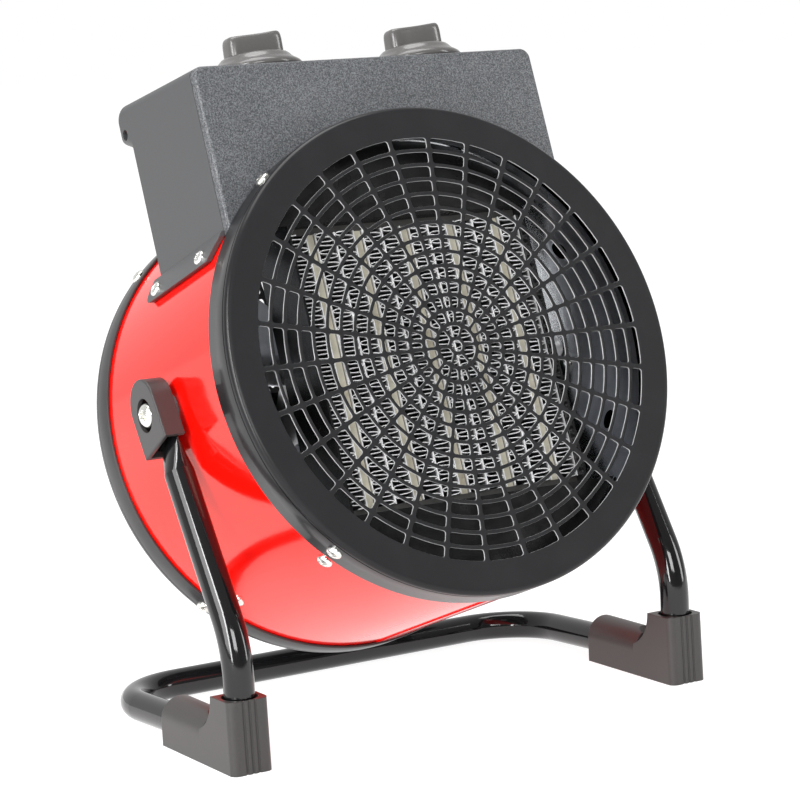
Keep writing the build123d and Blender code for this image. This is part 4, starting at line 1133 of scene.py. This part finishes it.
@dataclass(frozen=True)
class ScrewHead:
    """A domed head with a cross recess, its seat on the local XY plane.

    Attributes:
        radius: The head's radius, mm.
        height: The head's height, mm.
        side: The height of its straight side, mm.
        arm: Half the length of the recess, mm.
        blade: Half the width of the recess, mm.
        depth: The recess's depth, mm.
        shank: Length and radius of the shank, mm.
    """

    radius: float = 3.7
    height: float = 2.2
    side: float = 0.5
    arm: float = 2.0
    blade: float = 0.42
    depth: float = 1.3
    shank: Point = (7.0, 2.0)

    def surface(self, x: float, y: float) -> float:
        """Height of the head's top at a point, all in mm.

        Args:
            x: Across.
            y: Up.

        Returns:
            The height.
        """
        part = min(1.0, math.hypot(x, y) / self.radius)
        dome = self.side + (self.height - self.side) * math.sqrt(max(0.0, 1.0 - part ** 2.3))
        sunk = 0.0
        for a, b in ((x, y), (y, x)):
            wide = min(1.0, max(0.0, (self.blade * (1.25 - 0.35 * abs(b) / self.arm) - abs(a)) / 0.22))
            long = min(1.0, max(0.0, (self.arm - abs(b)) / 0.6))
            sunk = max(sunk, wide * long)
        return dome - self.depth * sunk

    def mesh(self) -> bpy.types.Mesh:
        """Makes the head and the shank.

        Returns:
            The mesh, seat on the XY plane and head towards +Z.
        """
        rings = [0.0, 0.09, 0.16, 0.24, 0.32, 0.4, 0.48, 0.56, 0.66, 0.78, 0.88, 0.95, 1.0]
        length, thin = self.shank
        profile = [(part * self.radius, self.height) for part in rings]
        profile += [(self.radius, 0.0), (thin, 0.0), (thin, -length), (0.0, -length)]
        work = lathe([(r * MM, z * MM) for r, z in profile], 48)
        top = self.height * MM - 1e-7
        for vertex in work.verts:
            if vertex.co.z > top:
                vertex.co.z = self.surface(vertex.co.x / MM, vertex.co.y / MM) * MM
        return as_mesh(work, "screw_head")


@dataclass
class Fasteners:
    """Screws of one head shape, set on points with an outward direction.

    Attributes:
        name: The piece's name.
        head: The head's shape.
        nodes: The CAD nodes that they stand for.
        seats: Seat and outward direction of every screw, in the head's frame, mm.
        seed: The seed of the recesses' turns.
        quarter: The most that a recess is turned, radians.
    """

    name: str
    head: ScrewHead
    nodes: tuple[str, ...]
    seats: list[tuple[Vector, Vector]]
    seed: int = 3
    quarter: float = 1.57

    def build(self, place: Matrix, finish: bpy.types.Material) -> None:
        """Sets a screw on every seat.

        Args:
            place: From the seats' frame to the object's.
            finish: Their plating.
        """
        base = bpy.data.meshes.new(self.name)
        base.from_pydata([seat * MM for seat, _ in self.seats], [], [])
        aims = base.attributes.new("aim", "FLOAT_VECTOR", "POINT")
        for item, (_, aim) in zip(aims.data, self.seats):
            item.vector = aim
        pattern = bpy.data.objects.new("screw_pattern", self.head.mesh())
        tree = GeoTree(self.name, {"Screw": pattern, "Seed": self.seed, "Material": finish})
        aim = tree.node("GeometryNodeInputNamedAttribute", {"data_type": "FLOAT_VECTOR"}, Name="aim")
        facing = tree.node("FunctionNodeAlignRotationToVector", {"axis": "Z"}, Vector=aim)
        even = {"data_type": "FLOAT"}
        turn = tree.node("FunctionNodeRandomValue", even, 1, i2=0.0, i3=self.quarter, Seed=tree.given("Seed"))
        local = {"rotation_space": "LOCAL"}
        spun = tree.node("FunctionNodeRotateRotation", local, Rotation=facing, Rotate_By=tree.xyz(z=turn))
        shape = tree.node("GeometryNodeObjectInfo", out="Geometry", Object=tree.given("Screw"))
        start = Sock(tree, tree.entry.outputs["Geometry"])
        cloud = tree.node("GeometryNodeMeshToPoints", Mesh=start)
        tree.close(tree.node("GeometryNodeInstanceOnPoints", Points=cloud, Instance=shape, Rotation=spun))
        mesh = tree.bake(base, place)
        bpy.data.objects.remove(pattern)
        finish_mesh(mesh, 48.0)
        add_piece(self.name, mesh, Body.HEAD, Slot.ZINC, self.nodes, finish)


@dataclass(frozen=True)
class ScrewPlan:
    """Where the drum's radial screws sit.

    Attributes:
        ring: The covers' radius, mm.
        drum: The drum's radius, mm.
        length: The drum's length, mm.
        flange: The control box flange's outer radius, mm.
        flange_angle: The flange screws' angle from the top, degrees.
    """

    ring: float
    drum: float
    length: float
    flange: float
    flange_angle: float = 57.2

    def seats(self) -> list[tuple[Vector, Vector]]:
        """Every seat with its outward direction.

        Returns:
            The seats, in the head's frame, mm.
        """
        rows = (  # Radius, angles from the top in degrees, and depths behind the grille face
            (self.ring, (-40.0, 40.0, -136.0, 136.0), (10.0,)),
            (self.ring, (-43.0, 43.0, -135.0, 135.0), (self.length - 7.5,)),
            (self.drum, (-137.5, 137.5), (26.0, self.length - 34.0)),
            (self.flange, (-self.flange_angle, self.flange_angle), (40.0, 90.0)),
        )
        found = []
        for radius, angles, depths in rows:
            for angle in map(math.radians, angles):
                out = Vector((math.sin(angle), 0, math.cos(angle)))
                found += [(out * radius + Vector((0, depth, 0)), out) for depth in depths]
        return found


# Knobs


@dataclass
class Knob:
    """A control knob: a dished skirt and a waisted grip bar whose top rises to one end.

    Attributes:
        length: The grip bar's length, mm.
        width: Its width at the ends, mm.
        waist: Its width in the middle, mm.
        low: Height of its low end, mm.
        high: Height of its high end, mm.
        base: Height of the bar's foot inside the skirt, mm.
        square: The power that shapes the bar's outline; 1 is an ellipse and 0 a rectangle.
        steps: Points round the bar.
        skirt: The skirt's profile, as radius and height, mm.
        levels: The bar's outlines from foot to top, as scale and part of the height.
    """

    length: float = 28.8
    width: float = 13.4
    waist: float = 11.2
    low: float = 17.9
    high: float = 20.3
    base: float = 3.0
    square: float = 0.5
    steps: int = 96
    skirt: tuple[Point, ...] = (
        (0.0, 1.2), (20.4, 1.0), (21.7, 0.9), (22.15, 1.3), (22.25, 2.0), (22.05, 2.9), (21.4, 3.8),
        (20.3, 4.6), (19.0, 5.4), (17.9, 6.4), (17.0, 7.5), (16.1, 8.3),
        (15.0, 8.7), (14.0, 8.6), (12.0, 8.4), (0.0, 8.4),
    )
    levels: tuple[Point, ...] = (
        (1.06, 0.0), (1.03, 0.25), (1.0, 0.45), (0.985, 0.76), (0.965, 0.85), (0.93, 0.92), (0.87, 0.97),
        (0.79, 1.0), (0.52, 1.0), (0.25, 0.995),
    )

    def plan(self, turn: float) -> Point:
        """A point of the bar's outline, mm, at an angle round it in radians."""
        c, s = math.cos(turn), math.sin(turn)
        x = math.copysign(abs(c) ** self.square, c) * self.length / 2
        far = min(1.0, abs(x) / (self.length / 2))
        half = self.waist / 2 + (self.width - self.waist) / 2 * far ** 2
        return x, math.copysign(abs(s) ** self.square, s) * half

    def top(self, x: float) -> float:
        """Height of the bar's top at a place along the bar, mm."""
        part = x / self.length + 0.5
        return self.low + (self.high - self.low) * part ** 1.6

    def mesh(self) -> bpy.types.Mesh:
        """Makes the knob on its own axis.

        Returns:
            The mesh, the box's top on the XY plane.
        """
        work = lathe([(r * MM, z * MM) for r, z in self.skirt], 96)
        rings = []
        for scale, lift in self.levels:
            ring = []
            for step in range(self.steps):
                x, y = self.plan(2 * math.pi * (step + 0.5) / self.steps)
                shrink = (1 - scale) * self.width / 2
                x -= math.copysign(min(abs(x), shrink), x)
                y *= scale
                height = self.base + (self.top(x) - self.base) * lift
                ring.append(work.verts.new((x * MM, y * MM, height * MM)))
            rings.append(ring)
        for low, high in zip(rings, rings[1:]):
            for step in range(self.steps):
                after = (step + 1) % self.steps
                work.faces.new((low[step], low[after], high[after], high[step]))
        work.faces.new(rings[-1])
        work.faces.new(list(reversed(rings[0])))
        return as_mesh(work, "knob")

    def build(self, joint: dict[str, Any], body: Body, node: str, finish: bpy.types.Material) -> None:
        """Puts the knob on its joint.

        Args:
            joint: The knob's joint in the record.
            body: The body that it rides on.
            node: The CAD node that it stands for.
            finish: Its plastic.
        """
        up = -Vector(joint["axis"]).normalized()
        across = Vector((1, 0, 0))
        turned = Matrix((across, up.cross(across), up)).transposed().to_4x4()
        mesh = self.mesh()
        mesh.transform(Matrix.Translation(Vector(joint["pos_m"])) @ turned)
        finish_mesh(mesh, 42.0)
        add_piece(f"{node}_shell", mesh, body, Slot.KNOB, [node], finish)


# Finishes of the CAD parts


@dataclass
class Wardrobe:
    """Every finish of the heater and the CAD nodes that wear it.

    Attributes:
        head: The head's frame.
        made: The finished materials by name.
    """

    head: HeadFrame
    made: dict[str, bpy.types.Material] = field(default_factory=dict)

    def finishes(self) -> dict[Finish, tuple[str, ...]]:
        """Finishes and the CAD nodes that wear them.

        Returns:
            A finish and its nodes.
        """
        back, face = tuple(self.head.back), self.head.face
        fins = face + self.head.span("fin_packs")[0].y * MM
        centre, drum = tuple(self.head.matrix.translation), self.head.span("drum_shell")[1].x
        return {
            # The drum's finish paints shade on its inner face, which lies in shadow behind the liner.
            DrumEnamel(
                "signal_red_enamel", (0.93, 0.005, 0.002), 0.10, coat=0.08, sheen=0.55,
                warmth=(1.0, 0.70, 0.50), shade=(0.88, 0.004, 0.002), peel=0.025,
                centre=centre, back=back, inside=(drum - 0.5) * MM,
            ): ("drum_shell",),
            Enamel(
                "tube_black_enamel", (0.006, 0.006, 0.007), 0.09, coat=0.3, sheen=0.4,
                shade=(0.004, 0.004, 0.004), peel=0.05,
            ): ("stand_tube",),
            Enamel(
                "baffle_black_enamel", (0.008, 0.008, 0.009), 0.22, sheen=0.4, shade=(0.006, 0.006, 0.006)
            ): ("element_frame", "element_brackets", "motor_bracket"),
            # The covers' finishes paint a highlight on the slots' walls.
            CoverPaint(
                "cover_satin_black", (0.009, 0.009, 0.010), 0.50, sheen=0.20,
                back=back, face=face, centre=centre,
            ): (),
            CoverPaint(
                "rear_cover_black", (0.030, 0.029, 0.030), 0.40, back=back, face=face - 1.0, gloss=0.3
            ): (),
            Moulded(
                "box_satin_grey", (0.040, 0.041, 0.042), 0.42, pale=(0.053, 0.054, 0.057), grain=1500.0,
                depth=0.05, contrast=0.25,
            ): ("control_box_shell",),
            Granite(
                "panel_granite_grey", (0.058, 0.061, 0.066), 0.46, pit=(0.022, 0.024, 0.027),
                top=(0.135, 0.140, 0.149), grain=1350.0,
            ): ("control_box_front",),
            Moulded(
                "foot_charcoal", (0.028, 0.026, 0.025), 0.36, pale=(0.046, 0.043, 0.041), grain=1200.0,
                depth=0.06, contrast=0.3,
            ): ("left_foot", "right_foot"),
            Moulded(
                "cap_charcoal", (0.026, 0.024, 0.024), 0.34, pale=(0.042, 0.039, 0.039), grain=1400.0,
                depth=0.05, contrast=0.3,
            ): ("left_pivot_cap", "right_pivot_cap", "cable_gland"),
            Moulded(
                "knob_graphite", (0.070, 0.067, 0.065), 0.22, coat=0.25, pale=(0.094, 0.090, 0.088),
                grain=1300.0, depth=0.03, contrast=0.2,
            ): (),
            Moulded("saddle_fibre_black", (0.03, 0.03, 0.03), 0.6): ("pivot_saddles",),
            Moulded("control_ivory", (0.62, 0.58, 0.48), 0.45, pale=(0.70, 0.67, 0.58)): (
                "thermostat", "rotary_switch", "terminal_block",
            ),
            Plated(
                "liner_polished_steel", (0.72, 0.74, 0.77), 0.12, 1.0, bloom=(0.62, 0.64, 0.67), marks=0.16
            ): ("inner_liner",),
            Plated("bright_zinc", (0.88, 0.88, 0.87), 0.18, 1.0, bloom=(0.82, 0.82, 0.72), marks=0.05): (
                "pivot_washers", "element_terminals", "fan_nut", "panel_nuts", "motor_screws", "foot_screws",
            ),
            # The fins' finish paints shade behind their front edges, deeper between the strips.
            CutFoil(
                "fin_bright_aluminium", (0.97, 0.97, 0.98), 0.36, 0.3,
                depth_shade=(0.13, 0.13, 0.135), back=back, front=fins,
            ): (),
            Plated(
                "fan_aluminium", (0.84, 0.84, 0.86), 0.30, 1.0,
                bloom=(0.74, 0.75, 0.79), streak=(1.0, 6.0, 1.0),
            ): (),
            Plated(
                "motor_steel", (0.55, 0.55, 0.57), 0.36, 1.0,
                bloom=(0.45, 0.45, 0.46), streak=(1.0, 5.0, 1.0),
            ): (
                "fan_motor", "thermal_cutout", "pivot_nuts", "motor_shaft", "thermostat_shaft",
                "selector_shaft",
            ),
            Fired("bar_cream_ceramic", (0.60, 0.57, 0.46), 0.55, scorch=(0.36, 0.31, 0.22)): ("ptc_bars",),
            Fired("insulator_dark_ceramic", (0.045, 0.044, 0.042), 0.6, scorch=(0.03, 0.028, 0.025)): (
                "element_insulators",
            ),
        }

    def dress(self, nodes: dict[str, bpy.types.Object]) -> None:
        """Makes every finish and puts it on its CAD nodes.

        Args:
            nodes: The CAD nodes by name.
        """
        for finish, names in self.finishes().items():
            material = finish.build()
            self.made[finish.name] = material
            for name in names:
                for slot in nodes[name].material_slots:
                    slot.material = material
                LOG.info("%s wears %s", name, finish.name)


# Studio


@dataclass
class Studio:
    """Pale floor, soft lights and the camera.

    Attributes:
        camera_at: Where the camera stands, metres.
        looks_at: The point that it looks at, metres.
        roll: Its roll, degrees.
        lens: Its focal length, mm.
        sensor: Its sensor's width, mm.
        floor_grey: How pale the floor is, linear.
        floor_glow: How much light the floor gives off.
    """

    camera_at: Triple = (-0.6354, -1.0841, 0.3200)
    looks_at: Triple = (-0.0317, -0.0719, 0.1549)
    roll: float = -2.81
    lens: float = 119.37
    sensor: float = 36.0
    floor_grey: float = 0.30
    floor_glow: float = 0.90

    def camera(self) -> None:
        """Adds the camera and makes it the scene's."""
        data = bpy.data.cameras.new("camera")
        data.lens, data.sensor_width = self.lens, self.sensor
        data.clip_start, data.clip_end = 0.05, 50.0
        forward = (Vector(self.looks_at) - Vector(self.camera_at)).normalized()
        right = forward.cross(Vector((0, 0, 1))).normalized()
        up = right.cross(forward)
        turn = math.radians(self.roll)
        across = right * math.cos(turn) + up * math.sin(turn)
        above = up * math.cos(turn) - right * math.sin(turn)
        item = link("camera", data)
        aimed = Matrix((across, above, -forward)).transposed().to_4x4()
        item.matrix_world = Matrix.Translation(self.camera_at) @ aimed
        bpy.context.scene.camera = item

    def floor(self) -> None:
        """Adds the pale floor."""
        work = bmesh.new()
        bmesh.ops.create_grid(work, x_segments=2, y_segments=2, size=20.0)
        floor = link("floor", as_mesh(work, "floor"))
        material = bpy.data.materials.new("pale_floor")
        material.use_nodes = True
        inputs = material.node_tree.nodes["Principled BSDF"].inputs
        inputs["Base Color"].default_value = (self.floor_grey, self.floor_grey, self.floor_grey, 1.0)
        inputs["Roughness"].default_value = 0.9
        inputs["Specular IOR Level"].default_value = 0.0
        inputs["Emission Color"].default_value = (1.0, 1.0, 1.0, 1.0)
        inputs["Emission Strength"].default_value = self.floor_glow
        floor.data.materials.append(material)

    def lamp(self, name: str, at: Vector, aim: Vector, size: Point, watts: float) -> None:
        """Adds one soft box.

        Args:
            name: Its name.
            at: Where it stands.
            aim: What it points at.
            size: Its width and height, metres.
            watts: Its power.
        """
        data = bpy.data.lights.new(name, "AREA")
        data.shape = "RECTANGLE"
        data.size, data.size_y = size
        data.energy = watts
        item = link(name, data)
        item.location = at
        item.rotation_euler = (aim - at).to_track_quat("-Z", "Y").to_euler()

    def light(self) -> None:
        """Adds the soft boxes and the pale surround."""
        middle = Vector((0, 0, 0.15))
        lamps = (  # Name, place in metres, size in metres, power in watts
            ("left_soft_box", (-1.7, -0.5, 0.9), (0.9, 1.5), 24.0),
            ("left_front_strip", (-1.7, -1.05, 0.8), (0.28, 1.5), 26.0),
            ("right_strip", (1.5, -1.1, 0.8), (0.35, 1.5), 12.0),
            ("top_soft_box", (-0.1, 0.2, 1.9), (1.5, 1.2), 22.0),
            ("front_fill", (-0.9, -2.3, 1.1), (1.0, 0.8), 28.0),
        )
        for name, at, size, watts in lamps:
            self.lamp(name, Vector(at), middle, size, watts)
        world = bpy.data.worlds.new("pale_surround")
        bpy.context.scene.world = world
        world.use_nodes = True
        graph = Graph(world.node_tree)
        seen = graph.node("ShaderNodeLightPath", out="Is Camera Ray")
        way = graph.node("ShaderNodeTexCoord", out="Generated")
        part = graph.node("ShaderNodeSeparateXYZ", Vector=way, out="Y")
        glow = graph.clamp(part * 0.45 + 0.55) * 0.75 + 0.1
        strength = glow * (1.0 - seen) + seen
        background = world.node_tree.nodes["Background"]
        background.inputs["Color"].default_value = (1.0, 1.0, 1.0, 1.0)
        graph.feed(background.inputs["Strength"], strength)

    def build(self) -> None:
        """Sets up the whole studio."""
        self.camera()
        self.floor()
        self.light()
        bpy.context.scene.view_settings.view_transform = "Standard"


# The heater


@dataclass
class Heater:
    """The dressed heater.

    Attributes:
    """

    frame: dict[str, Any]

    def joint(self, name: str) -> dict[str, Any]:
        """A joint of the record by name."""
        return next(joint for joint in self.frame["joints"] if joint["name"] == name)

    def covers(self, head: HeadFrame, wardrobe: Wardrobe) -> None:
        """Makes the two slotted covers.

        Args:
            head: The head's frame.
            wardrobe: The finishes.
        """
        low, high = head.span("front_grille")
        rings = (SlotRing(99.5, 12, 30), SlotRing(16.46, 1, 18), SlotRing(9.54, 1, 6))
        flange, radius = high.y - low.y - INSET, high.x - INSET
        front = Cover("front_cover", "front_grille", rings, flange, 2.6, 6.92, 5.2, radius)
        front.build(head, INSET * MM, False, wardrobe.made["cover_satin_black"])
        low, high = head.span("rear_grille")
        rings, flange, radius = (SlotRing(96.0, 8, 24),), high.y - low.y - INSET, high.x - INSET
        rear = Cover("rear_cover", "rear_grille", rings, flange, 0.0, 9.0, 6.2, radius, groove=(0.3, 0.5))
        rear.build(head, (high.y - INSET) * MM, True, wardrobe.made["rear_cover_black"])

    def fasteners(self, head: HeadFrame, wardrobe: Wardrobe) -> None:
        """Sets the drum's screws and the two pivot bolts.

        Args:
            head: The head's frame.
            wardrobe: The finishes.
        """
        zinc = wardrobe.made["bright_zinc"]
        groups = ("front_grille_screws", "rear_grille_screws", "drum_screws", "control_box_screws")
        ring, drum = head.span("front_grille")[1].x, head.span("drum_shell")[1].x
        plan = ScrewPlan(ring, drum, head.span("rear_grille")[1].y, drum + 2.7)
        Fasteners("drum_fasteners", ScrewHead(), groups, plan.seats()).build(head.matrix, zinc)
        bolt = ScrewHead(6.0, 5.5, 1.2, 3.4, 0.7, 2.2, (16.0, 3.0))
        pivot = head.matrix.inverted() @ Vector(self.joint("head_tilt")["pos_m"]) / MM
        reach = head.span("pivot_bolts")[1].x - bolt.height
        seats = [(Vector((side * reach, pivot.y, pivot.z)), Vector((side, 0, 0))) for side in (-1, 1)]
        Fasteners("pivot_bolt_pair", bolt, ("pivot_bolts",), seats, seed=5).build(head.matrix, zinc)

    def build(self) -> None:
        """Makes every piece and finish."""
        head = HeadFrame.of_model(self.frame)
        wardrobe = Wardrobe(head)
        wardrobe.dress(self.frame["nodes"])
        self.covers(head, wardrobe)
        FinPacks().build(head, wardrobe.made["fin_bright_aluminium"])
        FanRotor().build(head, self.frame["nodes"]["fan_blade"], wardrobe.made["fan_aluminium"])
        self.fasteners(head, wardrobe)
        plastic = wardrobe.made["knob_graphite"]
        Knob().build(self.joint("thermostat_turn"), Body.THERMOSTAT, "thermostat_knob", plastic)
        Knob().build(self.joint("selector_turn"), Body.SELECTOR, "selector_knob", plastic)


def main() -> None:
    """Builds the scene."""
    logging.basicConfig(level=logging.INFO, format="%(name)s %(message)s")
    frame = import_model()
    Studio().build()
    Heater(frame).build()


if __name__ == "__main__":
    main()
